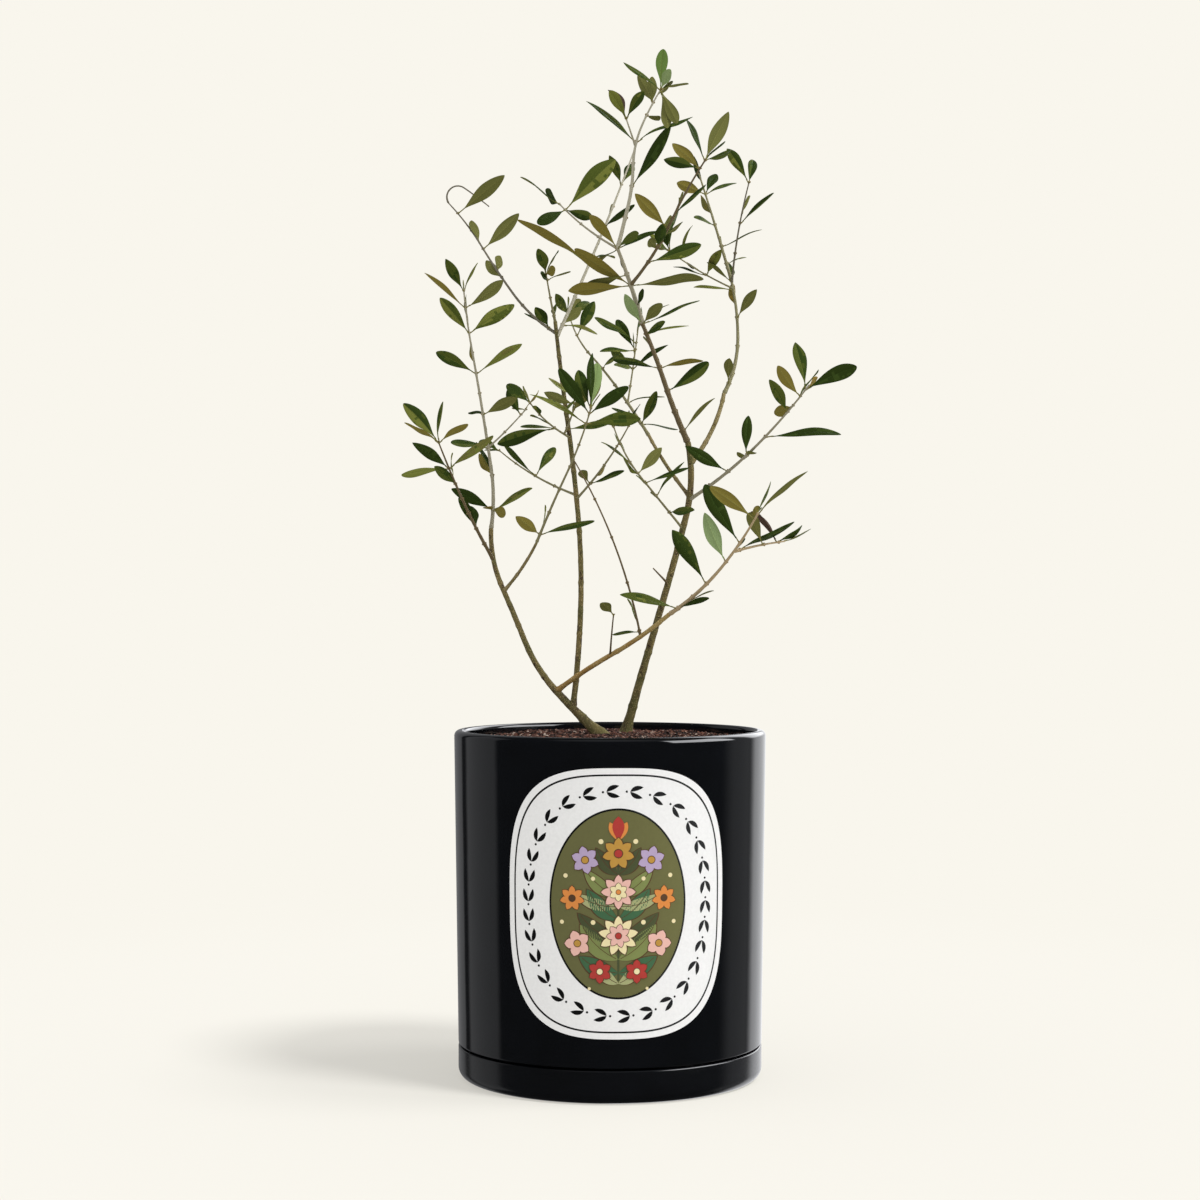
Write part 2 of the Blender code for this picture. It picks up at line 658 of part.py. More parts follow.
def grow_middle(plant):
    mass = Mass(plant, "middle_left_foliage")
    mass.shoot("middle_left", "middle_stem", at=0.55, length=104, lean=(-68, -48), toward=(-40, -44),
               thick=(2.0, 1.4),
               leaves="25 / 50 r37:10 R30:90 / 77 / 103 l12:25")
    mass.join()

    mass = Mass(plant, "middle_right_foliage")
    mass.shoot("middle_right", "middle_stem", at=0.54, length=110, lean=(45, 30), toward=(46, 58),
               thick=(2.0, 1.4),
               leaves="23 L12:80u r29:25 / 50 / 78 / 108 l14:25")
    mass.join()

    mass = Mass(plant, "heart_foliage")
    mass.shoot("heart", "middle_stem", at=0.70, length=59, lean=(-66, -37), toward=(47,),
               thick=(1.8, 1.4),
               leaves="19 L49:43 l27:35 / 41 r7:10 / 57 L27:5")
    mass.shoot("heart_upright", "heart", at=0.12, length=36, lean=(27, 14), toward=(32,),
               thick=(1.5, 1.4),
               leaves="5 r36:55 / 23 R15:20u / 29 L28:80u / 35 l25:75 l12:155")
    mass.join()

    mass = Mass(plant, "bud_foliage")
    mass.shoot("bud", "middle_stem", at=1.0, length=53, lean=(-13, -9), toward=(50,), thick=(2.0, 1.4),
               leaves="6 r13:15 / 26 / 46 l6:35 r21:65 / 52 L17:10 R8:80u")
    mass.join()

    mass = Mass(plant, "arching_foliage")
    mass.shoot("arching", "middle_stem", at=0.97, length=194, lean=(-55, -34, -30, -41),
               toward=(-36, -35), thick=(2.4, 1.5),
               leaves="9 R18:20 / 47 / 86 L24:8u / 125 R43:75u / 150 / 176 R50:90u")
    mass.shoot("arching_tip", "arching", at=0.99, length=53, lean=(-36, 125, 129), toward=(1,),
               thick=(1.5, 1.4))
    mass.join()

    mass = Mass(plant, "inner_spire_foliage")
    mass.shoot("inner_spire", "middle_stem", at=0.96, length=207, lean=(23, 21, 18), toward=(-22, -29),
               thick=(2.9, 1.7),
               leaves="12 R24:15u r29:75 / 40 / 74 l67:85u l68:75 / 83 r18:50 / 112 r29:30 / 135"
                      " / 159 R25:5 L22:45")
    mass.join()


def grow_right_side(plant):
    mass = Mass(plant, "right_leader_foliage")
    mass.shoot("right_leader", "right_trunk", at=1.0, length=105, lean=(-25, -19, -24), toward=(13,),
               thick=(4.7, 4.2),
               leaves="10 r37:70u / 27 / 45 R41:70 / 65 r36:95u l38:55 / 94 r35:95 r15:80"
                      " / 103 r51:90 r29:65 R19:75u L25:15u")
    mass.shoot("right_leader_middle", "right_leader", at=0.98, length=65, lean=(-16, -22), toward=(13,),
               thick=(4.0, 3.5),
               leaves="15 r11:40 / 32 r59:100u l50:80u l54:35u / 41 l37:90u"
                      " / 63 L33:25u l16:80 r37:85 r17:80")
    mass.shoot("right_leader_top", "right_leader_middle", at=0.97, length=131, lean=(14, 14, 1, 24, 33),
               toward=(7,), thick=(3.3, 2.7, 1.8, 1.5),
               leaves="24 / 49 r56:30 / 67 / 84 r51:50 l53:60 / 106 r10:50"
                      " / 117 L30:55u L26:30u / 129 L35:30 R33:120u R34:142u l37:80 r26:25 R13:5u")
    mass.shoot("leader_twiglet", "right_leader_top", at=0.62, length=24, lean=(-19,), toward=(7,),
               thick=(1.6, 1.4),
               leaves="22 L20:20 R21:60 l30:12")
    mass.shoot("side_leader", "right_leader_middle", at=0.5, length=137, lean=(43, 27, 38),
               toward=(33, 53), thick=(2.7, 1.7),
               leaves="25 R46:35 / 42 L11:65u L14:25 / 47 l26:10u / 61 L36:70u / 71 r37:15 / 98"
                      " / 126 L29:100 L31:80u / 136 L45:10u l36:55")
    mass.shoot("side_twig", "right_leader_middle", at=0.97, length=90, lean=(-54, -38), toward=(-43,),
               thick=(2.0, 1.5),
               leaves="26 / 52 / 79 R60:80 L27:80 R25:155 / 89 l41:15")
    mass.join()

    mass = Mass(plant, "spire_foliage")
    mass.shoot("spire", "spire_bough", at=1.0, length=110, lean=(28, 1, -11), toward=(-22,),
               thick=(3.3, 2.8),
               leaves="10 L18:25u / 20 / 46 / 73 R26:35u / 100 l34:80 / 108 l25:50u")
    mass.shoot("spire_side", "spire", at=0.92, length=63, lean=(-67, -54), toward=(8,), thick=(1.5, 1.4),
               leaves="25 R21:90 l29:10 / 52 r32:75 / 62 r29:55 R20:35 l19:5")
    mass.shoot("spire_top", "spire", at=0.98, length=107, lean=(-14, -16), toward=(-20,),
               thick=(2.8, 1.9),
               leaves="17 r20:70 / 34 r36:85 / 55 l19:60 / 86 R24:45 L26:65u r31:75")
    mass.shoot("wand", "spire", at=0.97, length=87, lean=(4, 14), toward=(15, 32), thick=(1.8, 1.4),
               leaves="24 / 50 r37:35 / 86 L32:50 L24:5")
    mass.join()

    mass = Mass(plant, "right_outer_foliage")
    mass.shoot("right_outer", "right_trunk", at=0.81, length=160, lean=(58, 45, 36), toward=(31, 49),
               thick=(3.0, 1.6),
               leaves="22 / 44 L40:110 / 67 L33:40 l6:130u r6:20u / 92 r59:50 / 125 L28:75 / 133 L13:150u"
                      " / 145 L29:80u / 154 R42:25 r38:30u L38:45")
    mass.join()

    mass = Mass(plant, "crossing_foliage")
    mass.shoot("crossing", "crossing_bough", at=1.0, length=149, lean=(-30, -33, -40, -12), toward=(-30,),
               thick=(2.8, 1.4),
               leaves="14 r31:125 R27:60 l29:25 / 39 r32:105 / 60 / 81 r16:80 / 103 / 124 R35:50"
                      " / 147 R23:65 r19:40u L18:20")
    mass.shoot("crossing_twig", "crossing", at=0.26, length=76, lean=(9, 7), toward=(-28,),
               thick=(1.5, 1.4),
               leaves="16 / 34 L27:50 l15:85 r35:45 / 53 L32:40 l30:105 / 60 l42:60")
    mass.join()

    mass = Mass(plant, "thin_foliage")
    mass.shoot("thin", "right_trunk", at=0.71, length=140, lean=(-41, -42, -20), toward=(39, 55),
               thick=(2.0, 1.4),
               leaves="22 r18:120 / 45 r36:85 / 64 r36:115 / 77 R29:80u / 92 l29:10 / 116 / 139 l14:25")
    mass.join()


def grow_low_growth(plant):
    mass = Mass(plant, "low_foliage")
    mass.shoot("low", "low_bough", at=1.0, length=131, lean=(56, 38, 26), toward=(31, 47),
               thick=(3.3, 2.0),
               leaves="9 l47:130 r25:20 / 26 / 44 L50:80 / 72 L42:55u / 95 L53:60 / 124 L42:85u"
                      " / 129 l6:25u r49:25u")
    mass.shoot("low_side", "low", at=0.65, length=42, lean=(74, 83), toward=(-13, -15), thick=(2.2, 1.5),
               leaves="4 l49:15 / 24 L27:110u / 36 l25:20 r7:10 l31:120")
    mass.join()

    mass = Mass(plant, "whip_twig")
    mass.shoot("whip", "low_bough", at=0.74, length=157, lean=(-11, -21, -31), toward=(15, 28),
               thick=(1.8, 1.4),
               leaves="4 l21:80 / 45 / 85 / 120")
    mass.join()

    mass = Mass(plant, "spoon_spur")
    mass.shoot("spoon", "low_bough", at=0.48, length=47, lean=(3, 6), toward=(45,), thick=(1.6, 1.4),
               leaves="46 L14:55u")
    mass.join()

    mass = Mass(plant, "thorn_spur")
    mass.shoot("thorn", "right_trunk", at=0.52, length=31, lean=(-46,), toward=(56,), thick=(2.0, 1.4))
    mass.join()


def build():
    remove_everything()
    glaze = principled(*BLACK_GLAZE)
    make_saucer(glaze)
    make_pot(glaze)
    soil_tree = make_soil(principled(*DARK_SOIL))
    plant = Plant(principled(*OLIVE_BARK), principled(*OLIVE_FOLIAGE), soil_tree)
    grow_limbs(plant)
    grow_left_side(plant)
    grow_middle(plant)
    grow_right_side(plant)
    grow_low_growth(plant)


build()
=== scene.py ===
"""Looks of a young potted olive tree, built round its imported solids.

Sizes are in millimetres, as on a maker's drawing, and become metres as each mesh is made.
The plant's front faces -Y and +Z is up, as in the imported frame.
"""

import math
import random
import re

import bmesh
import bpy
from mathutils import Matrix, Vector, noise
from mathutils.bvhtree import BVHTree


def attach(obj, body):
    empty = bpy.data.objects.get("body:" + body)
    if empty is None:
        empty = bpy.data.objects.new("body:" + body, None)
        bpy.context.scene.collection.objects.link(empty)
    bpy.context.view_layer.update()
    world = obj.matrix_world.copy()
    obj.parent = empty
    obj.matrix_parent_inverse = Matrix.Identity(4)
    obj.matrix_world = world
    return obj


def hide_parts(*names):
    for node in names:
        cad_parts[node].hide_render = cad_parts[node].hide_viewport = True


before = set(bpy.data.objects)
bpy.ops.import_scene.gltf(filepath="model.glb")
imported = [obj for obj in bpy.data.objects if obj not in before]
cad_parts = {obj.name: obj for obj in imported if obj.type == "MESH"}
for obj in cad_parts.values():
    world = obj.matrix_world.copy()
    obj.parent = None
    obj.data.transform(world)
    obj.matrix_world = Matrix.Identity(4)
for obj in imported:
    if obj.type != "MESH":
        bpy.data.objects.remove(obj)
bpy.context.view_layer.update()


# ---------------------------------------------------------------- saucer
# A shallow round dish, jigger-turned in stoneware and dipped in black gloss glaze before its
# glaze firing.  It stands on its flat foot, and the pot's narrower foot sits down inside it.

MM = 0.001
GAP = 0.3                 # left between two pieces that touch
SAUCER_RADIUS = 121.5
SAUCER_HEIGHT = 26.0
SAUCER_FLOOR = 8.0
SAUCER_FOOT_RADIUS = 113.0
SAUCER_WALL = 9.5
SAUCER_LIP = 1.4
TURNING_STEPS = 200
GLAZE_BLACK = "#060708"
GLAZE_THIN = "#0c0e12"
GLAZE_WAVE = 34.0         # length of the glaze film's slow waves
GLAZE_PITS = 1.6          # spacing of the finest marks that still show
SAUCER_ROUGHNESS = 0.16


def linear(code):
    """Linear colour from its sRGB hex code."""
    shares = [int(code[place:place + 2], 16) / 255.0 for place in (1, 3, 5)]
    return (*(s / 12.92 if s <= 0.04045 else ((s + 0.055) / 1.055) ** 2.4 for s in shares), 1.0)


def add_node(tree, kind, links=None, **settings):
    """Add a node: settings are its properties, links its sockets' values or what feeds them."""
    made = tree.nodes.new(kind)
    for name, value in settings.items():
        setattr(made, name, value)
    for name, value in (links or {}).items():
        if isinstance(value, bpy.types.NodeSocket):
            tree.links.new(value, made.inputs[name])
        else:
            made.inputs[name].default_value = value
    return made


def start_material(name, **sockets):
    """A material with a Principled shader whose even values are set on its own sockets."""
    finish = bpy.data.materials.new(name)
    finish.use_nodes = True
    shader = finish.node_tree.nodes["Principled BSDF"]
    for socket, value in sockets.items():
        shader.inputs[socket.replace("_", " ")].default_value = value
    return finish, finish.node_tree, shader


def new_piece(name, vertices, faces, finishes, face_finishes=None, smooth_angle=50.0):
    """One object from points in millimetres, its faces turned outwards as they are given."""
    mesh = bpy.data.meshes.new(name)
    mesh.from_pydata([Vector(point) * MM for point in vertices], [], faces)
    for finish in finishes:
        mesh.materials.append(finish)
    if face_finishes:
        mesh.polygons.foreach_set("material_index", face_finishes)
    mesh.shade_smooth()
    mesh.set_sharp_from_angle(angle=math.radians(smooth_angle))
    mesh.update()
    piece = bpy.data.objects.new(name, mesh)
    bpy.context.scene.collection.objects.link(piece)
    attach(piece, "root")
    return piece


def glazed_stoneware(name, roughness):
    """Glossy glaze, IOR 1.6: near black, pooled and thinned a little by its run, so that
    reflections bend slowly along the wall and break up at the finest pits."""
    finish, tree, shader = start_material(name, IOR=1.6)
    place = add_node(tree, "ShaderNodeTexCoord").outputs["Object"]
    run = add_node(tree, "ShaderNodeTexNoise", {"Vector": place, "Scale": 1.0 / (GLAZE_WAVE * MM),
                                                "Detail": 2.0}).outputs["Fac"]
    pits = add_node(tree, "ShaderNodeTexNoise", {"Vector": place, "Scale": 1.0 / (GLAZE_PITS * MM),
                                                 "Detail": 3.0}).outputs["Fac"]
    colour = add_node(tree, "ShaderNodeMix", {"Factor": run, "A": linear(GLAZE_BLACK),
                                              "B": linear(GLAZE_THIN)}, data_type="RGBA")
    gloss = add_node(tree, "ShaderNodeMapRange", {"Value": pits, "From Min": 0.3, "From Max": 0.8,
                                                  "To Min": roughness * 0.8,
                                                  "To Max": roughness * 1.5})
    wave = add_node(tree, "ShaderNodeBump", {"Height": run, "Strength": 1.0,
                                             "Distance": 0.12 * MM})
    skin = add_node(tree, "ShaderNodeBump", {"Height": pits, "Strength": 0.4,
                                             "Distance": 0.006 * MM,
                                             "Normal": wave.outputs["Normal"]})
    tree.links.new(colour.outputs["Result"], shader.inputs["Base Color"])
    tree.links.new(gloss.outputs["Result"], shader.inputs["Roughness"])
    tree.links.new(skin.outputs["Normal"], shader.inputs["Normal"])
    return finish


def arc(centre_r, centre_z, radius, first_degrees, last_degrees=None, points=9):
    """Points of an arc on a turned profile, a quarter circle unless its end is given."""
    last_degrees = first_degrees + 90.0 if last_degrees is None else last_degrees
    angles = [math.radians(first_degrees + (last_degrees - first_degrees) * step / (points - 1))
              for step in range(points)]
    return [(centre_r + radius * math.cos(a), centre_z + radius * math.sin(a)) for a in angles]


def turned_piece(name, profile, finish, smooth_angle=35.0, height_at=None):
    """A body turned round the Z axis from an outward-facing profile of (radius, height).

    Where the profile leaves a height out, height_at gives it from x and y.
    """
    vertices = []
    rings = []
    for radius, height in profile:
        steps = TURNING_STEPS if radius else 1
        first = len(vertices)
        rings.append([first + step % steps for step in range(TURNING_STEPS)])
        for step in range(steps):
            x = radius * math.cos(math.tau * step / TURNING_STEPS)
            y = radius * math.sin(math.tau * step / TURNING_STEPS)
            vertices.append((x, y, height_at(x, y) if height is None else height))
    faces = []
    for lower, upper in zip(rings, rings[1:] + rings[:1] if profile[0][0] else rings[1:]):
        for step in range(TURNING_STEPS):
            after = (step + 1) % TURNING_STEPS
            corners = (lower[after], upper[after], upper[step], lower[step])
            faces.append(tuple(dict.fromkeys(corners)))
    return new_piece(name, vertices, faces, [finish], smooth_angle=smooth_angle)


foot_round = SAUCER_RADIUS - SAUCER_FOOT_RADIUS
saucer_inner = SAUCER_RADIUS - SAUCER_WALL
saucer_profile = [(0.0, 0.0)]
saucer_profile += arc(SAUCER_FOOT_RADIUS, foot_round, foot_round, -90.0, points=14)
saucer_profile += arc(SAUCER_RADIUS - SAUCER_LIP, SAUCER_HEIGHT - SAUCER_LIP, SAUCER_LIP, 0.0)
saucer_profile += arc(saucer_inner + SAUCER_LIP, SAUCER_HEIGHT - SAUCER_LIP, SAUCER_LIP, 90.0)
saucer_profile += arc(saucer_inner - SAUCER_LIP, SAUCER_FLOOR + SAUCER_LIP, SAUCER_LIP, 0.0, -90.0)
saucer_profile += [(0.0, SAUCER_FLOOR)]
saucer = turned_piece("glazed_saucer", saucer_profile,
                      glazed_stoneware("black_saucer_glaze", SAUCER_ROUGHNESS))
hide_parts("saucer")


# ---------------------------------------------------------------- pot
# A straight-sided stoneware planter, slip-cast with a rounded lip, a drain hole and a foot
# that is stepped in to sit in the saucer.  It is glazed black inside and out.

POT_RIM_RADIUS = 125.0
POT_RIM_HEIGHT = 277.0
POT_WALL = 8.0
POT_FLOOR = 12.0
POT_LIP = 3.0
POT_EDGE = 4.5
JOINT_LINE = 1.5
POT_FOOT_RADIUS = 110.0
POT_FLOOR_RADIUS = 100.0
POT_CORNER_RISE = 20.0
SHOULDER_ROUND = 1.5
DRAIN_RADIUS = 9.0
POT_ROUGHNESS = 0.055

pot_shoulder = SAUCER_HEIGHT + JOINT_LINE


def pot_radius(height):
    """Outer radius of the pot's gently flaring side."""
    share = (height - pot_shoulder) / (POT_RIM_HEIGHT - pot_shoulder)
    return SAUCER_RADIUS + (POT_RIM_RADIUS - SAUCER_RADIUS) * share


lip_height = POT_RIM_HEIGHT - POT_LIP
edge_height = POT_RIM_HEIGHT - POT_EDGE
corner_height = SAUCER_HEIGHT + POT_CORNER_RISE
pot_floor_top = SAUCER_FLOOR + GAP + POT_FLOOR
pot_inside_top = pot_radius(lip_height) - POT_WALL
pot_inside_corner = pot_radius(corner_height) - POT_WALL
pot_profile = [(DRAIN_RADIUS, SAUCER_FLOOR + GAP), (POT_FOOT_RADIUS, SAUCER_FLOOR + GAP)]
pot_profile += [(POT_FOOT_RADIUS, pot_shoulder)]
pot_profile += arc(SAUCER_RADIUS - SHOULDER_ROUND, pot_shoulder + SHOULDER_ROUND, SHOULDER_ROUND,
                   -90.0)
pot_profile += arc(pot_radius(edge_height) - POT_EDGE, edge_height, POT_EDGE, 0.0, points=12)
pot_profile += arc(pot_inside_top + POT_LIP, lip_height, POT_LIP, 90.0, points=12)
pot_profile += [(pot_inside_corner, corner_height), (POT_FLOOR_RADIUS, pot_floor_top)]
pot_profile += [(DRAIN_RADIUS, pot_floor_top)]
pot = turned_piece("glazed_pot", pot_profile, glazed_stoneware("black_pot_glaze", POT_ROUGHNESS))
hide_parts("pot")


# ---------------------------------------------------------------- label
# A printed vinyl label, pressed round the front of the pot: white with a fine black line, a
# garland of leaves and a bouquet of plain garden flowers on an olive ground.

LABEL_TURN = 2.7          # degrees that its middle stands round from the front, to the right
LABEL_HALF_WIDTH = 88.5   # along the pot's curve
LABEL_HALF_HEIGHT = 102.2
LABEL_MIDDLE = 152.3      # height of its centre
LABEL_SQUARENESS = 3.05   # exponent of its rounded outline; 2 is an ellipse
LABEL_THICKNESS = 0.35
INK_STEP = 0.05           # each printed layer stands this much over the one below
LINE_INSET = 4.6
LINE_WIDTH = 1.3
GARLAND_INSET = 17.5
GARLAND_SQUARENESS = 2.35
GARLAND_PAIRS = 30
GARLAND_LEAF = (10.5, 3.6)
GARLAND_SPLAY = 34.0      # degrees that a pair's leaves stand off the ring
GARLAND_BEND = -22.0
GARLAND_DOT = 0.9
BOUQUET_BEND = -20.0
LEAF_OUTLINE = 1.6        # wider than the printed leaf on it
PETAL_STEP = 1.6          # spacing of the rows of corners along a petal
PETAL_ROUNDING = 0.8      # under 1 it fills a petal out
PETAL_TIP = 0.02          # half width that is left at both its ends
FLOWER_OUTLINE = 1.05     # length of the line round a petal, against the petal
PETAL_GIRTHS = (4.4, 3.7) # widths of all a flower's outlines and petals, against its radius
PETAL_FULLNESS = 1.25
HEART_SHARES = (0.30, 0.24)    # radii of a flower's heart with its line and without it
PANEL_HALF_WIDTH = 53.0
PANEL_HALF_HEIGHT = 72.0
PANEL_BORDER = 1.5
INKS = {
    "white_vinyl": "#f0f0f0", "black_ink": "#0b0b0b", "olive_ink": "#6a693b",
    "moss_ink": "#4b5330", "leaf_ink": "#7f8a4c", "fern_ink": "#3f6b46", "pale_ink": "#a8ac78",
    "cream_ink": "#efe0ae", "gold_ink": "#c0913a", "orange_ink": "#df8a3d",
    "pink_ink": "#eab9ac", "red_ink": "#b5342c", "violet_ink": "#b7a3c4", "brown_ink": "#5a3d22",
}
INK_ORDER = list(INKS)


def printed_ink(name, code):
    """Satin screen ink on vinyl, roughness 0.5: the film lies a little unevenly and its grain
    breaks the colour up by a few percent."""
    finish, tree, shader = start_material(name, Roughness=0.5, IOR=1.46)
    place = add_node(tree, "ShaderNodeTexCoord").outputs["Object"]
    grain = add_node(tree, "ShaderNodeTexNoise", {"Vector": place, "Scale": 1.0 / (2.2 * MM),
                                                  "Detail": 4.0}).outputs["Fac"]
    strong = linear(code)
    weak = tuple(0.86 * c for c in strong[:3]) + (1.0,)
    colour = add_node(tree, "ShaderNodeMix", {"Factor": grain, "A": strong, "B": weak},
                      data_type="RGBA")
    tree.links.new(colour.outputs["Result"], shader.inputs["Base Color"])
    return finish


class Print:
    """Shapes laid on the pot's curve, each in an ink and on a layer of its own."""

    def __init__(self):
        self.vertices = []
        self.faces = []
        self.inks = []

    def on_pot(self, across, up, lift):
        """A point of the label's plane wrapped round the pot's side."""
        height = LABEL_MIDDLE + up
        radius = pot_radius(height) + lift
        angle = math.radians(LABEL_TURN) + across / pot_radius(LABEL_MIDDLE)
        return (radius * math.sin(angle), -radius * math.cos(angle), height)

    def grid(self, rows, ink, layer):
        """A patch whose rows of (across, up) points run upwards or outwards, left to right."""
        lift = LABEL_THICKNESS + INK_STEP * layer
        first = len(self.vertices)
        width = len(rows[0])
        for row in rows:
            self.vertices += [self.on_pot(across, up, lift) for across, up in row]
        for row in range(len(rows) - 1):
            for step in range(width - 1):
                low = first + row * width + step
                self.faces.append((low, low + 1, low + 1 + width, low + width))
                self.inks.append(INK_ORDER.index(ink))

    def spine(self, foot, aim, length, bend, share):
        """Place and turn on the middle line of a leaf or petal after a share of its length."""
        turn = math.radians(aim + bend * (share - 0.5))
        return (foot[0] + length * share * math.sin(turn),
                foot[1] + length * share * math.cos(turn)), turn

    def petal(self, foot, aim, length, width, ink, layer, bend=0.0, fullness=1.0):
        """A leaf or petal from its foot, aimed by degrees off the upright, to the right."""
        steps = max(6, int(length / PETAL_STEP))
        rows = []
        for step in range(steps + 1):
            share = step / steps
            middle, turn = self.spine(foot, aim, length, bend, share)
            half = width / 2.0 * math.sin(math.pi * share ** fullness) ** PETAL_ROUNDING
            half += PETAL_TIP
            side = (math.cos(turn), -math.sin(turn))
            rows.append([(middle[0] + side[0] * half * part, middle[1] + side[1] * half * part)
                         for part in (-1.0, -0.5, 0.0, 0.5, 1.0)])
        self.grid(rows, ink, layer)

    def dot(self, centre, radius, ink, layer, rings=2, sides=20):
        """A round spot."""
        rows = [[(centre[0] + radius * part / rings * math.cos(-math.tau * step / sides),
                  centre[1] + radius * part / rings * math.sin(-math.tau * step / sides))
                 for step in range(sides + 1)] for part in range(rings, -1, -1)]
        rows[-1] = [(centre[0], centre[1])] * (sides + 1)
        self.grid(rows, ink, layer)

    def stroke(self, points, width, ink, layer):
        """A line of even width through the points."""
        rows = []
        for index, here in enumerate(points):
            before = points[max(0, index - 1)]
            after = points[min(len(points) - 1, index + 1)]
            run = math.hypot(after[0] - before[0], after[1] - before[1])
            side = ((after[1] - before[1]) / run, -(after[0] - before[0]) / run)
            rows.append([(here[0] + side[0] * width * part, here[1] + side[1] * width * part)
                         for part in (-0.5, 0.5)])
        self.grid(rows, ink, layer)

    def flower(self, centre, radius, petals, ink, heart, layer, first=0.0):
        """A round flower with a darker line under each petal and a spotted heart."""
        for number in range(petals):
            aim = first + 360.0 * number / petals
            lined, plain = [radius * girth / petals for girth in PETAL_GIRTHS]
            self.petal(centre, aim, radius * FLOWER_OUTLINE, lined, "brown_ink", layer,
                       fullness=PETAL_FULLNESS)
            self.petal(centre, aim, radius, plain, ink, layer + 1, fullness=PETAL_FULLNESS)
        self.dot(centre, radius * HEART_SHARES[0], "brown_ink", layer + 2)
        self.dot(centre, radius * HEART_SHARES[1], heart, layer + 3)


def rounded_outline(half_width, half_height, squareness, angle):
    """Point of a rounded outline at an angle, clockwise from the right."""
    cosine = math.cos(-angle)
    sine = math.sin(-angle)
    reach = (abs(cosine / half_width) ** squareness + abs(sine / half_height) ** squareness)
    reach = reach ** (-1.0 / squareness)
    return (cosine * reach, sine * reach)


def ring_rows(outer, inner, squareness, steps, bands):
    """Rows of a patch between two outlines of (half width, half height)."""
    rows = []
    for band in range(bands + 1):
        part = band / bands
        size = [outer[axis] + (inner[axis] - outer[axis]) * part for axis in (0, 1)]
        rows.append([rounded_outline(size[0], size[1], squareness, math.tau * step / steps)
                     for step in range(steps + 1)])
    return rows


def ring_bands(first, rings, sides, turned=False):
    """Quads that join rings of corners, which are numbered one ring after another."""
    faces = []
    for low in range(first, first + (rings - 1) * sides, sides):
        for step in range(sides):
            after = (step + 1) % sides
            face = (low + step, low + after, low + sides + after, low + sides + step)
            faces.append(face[:1] + face[:0:-1] if turned else face)
    return faces


label = Print()
full_size = (LABEL_HALF_WIDTH, LABEL_HALF_HEIGHT)
label.grid(ring_rows(full_size, (0.5, 0.6), LABEL_SQUARENESS, 160, 36), "white_vinyl", 0)
line_outer = [size - LINE_INSET for size in full_size]
line_inner = [size - LINE_WIDTH for size in line_outer]
label.grid(ring_rows(line_outer, line_inner, LABEL_SQUARENESS, 240, 1), "black_ink", 1)
panel_size = (PANEL_HALF_WIDTH, PANEL_HALF_HEIGHT)
panel_inner = [size - PANEL_BORDER for size in panel_size]
label.grid(ring_rows(panel_size, panel_inner, 2.0, 200, 1), "black_ink", 1)
label.grid(ring_rows(panel_inner, (0.4, 0.5), 2.0, 160, 24), "olive_ink", 1)

# the garland: paired leaves along the white ring, a dot between each two pairs
garland_size = [size - GARLAND_INSET for size in full_size]
for number in range(GARLAND_PAIRS):
    here = math.tau * number / GARLAND_PAIRS
    foot = rounded_outline(*garland_size, GARLAND_SQUARENESS, here)
    ahead = rounded_outline(*garland_size, GARLAND_SQUARENESS, here + 0.03)
    aim = math.degrees(math.atan2(ahead[0] - foot[0], ahead[1] - foot[1]))
    for side in (-1.0, 1.0):
        label.petal(foot, aim + GARLAND_SPLAY * side, *GARLAND_LEAF, "black_ink", 1,
                    bend=GARLAND_BEND * side)
    between = rounded_outline(*garland_size, GARLAND_SQUARENESS,
                              here + math.pi / GARLAND_PAIRS * 1.7)
    label.dot(between, GARLAND_DOT, "black_ink", 1, rings=1, sides=12)

# the bouquet: everything but its middle stem is mirrored left and right
label.stroke([(0.0, -58.0 + 4.0 * step) for step in range(24)], 1.7, "moss_ink", 3)
for side in (-1.0, 1.0):
    for foot_up, aim, length, width, ink in (
            (-52.0, 78.0, 33.0, 13.0, "fern_ink"), (-42.0, 58.0, 40.0, 14.0, "leaf_ink"),
            (-28.0, 66.0, 38.0, 12.0, "moss_ink"), (-12.0, 56.0, 34.0, 12.0, "fern_ink"),
            (6.0, 62.0, 34.0, 11.0, "leaf_ink"), (22.0, 50.0, 27.0, 10.0, "moss_ink"),
            (-60.0, 60.0, 22.0, 9.0, "pale_ink"), (-2.0, 84.0, 36.0, 9.0, "pale_ink")):
        aim *= side
        bend = BOUQUET_BEND * side
        label.petal((0.0, foot_up), aim, length, width + LEAF_OUTLINE, "brown_ink", 2, bend)
        label.petal((0.0, foot_up), aim, length - 1.0, width, ink, 3, bend)
        vein = [label.spine((0.0, foot_up), aim, length * 0.9, bend, part)[0]
                for part in (0.05, 0.25, 0.45, 0.65, 0.85, 1.0)]
        label.stroke(vein, 0.5, "brown_ink", 4)
    label.flower((side * 25.0, 33.0), 10.5, 6, "violet_ink", "gold_ink", 6, first=12.0 * side)
    label.flower((side * 35.0, 4.0), 9.5, 7, "orange_ink", "brown_ink", 6)
    label.flower((side * 31.0, -30.0), 10.0, 5, "pink_ink", "gold_ink", 6, first=20.0 * side)
    label.flower((side * 14.0, -51.0), 9.0, 6, "red_ink", "cream_ink", 10)
    for across, up, radius in ((40.0, 21.0, 1.7), (13.0, 47.0, 1.9), (43.0, -14.0, 1.6),
                               (19.0, -14.0, 1.8), (19.0, 19.0, 1.6), (22.0, -64.0, 1.2)):
        label.dot((side * across, up), radius, "cream_ink", 5, sides=14)
label.flower((0.0, -24.0), 15.0, 9, "cream_ink", "gold_ink", 10)
label.flower((0.0, -24.0), 9.0, 7, "pink_ink", "red_ink", 14, first=10.0)
label.flower((0.0, 9.0), 13.0, 8, "pink_ink", "gold_ink", 10)
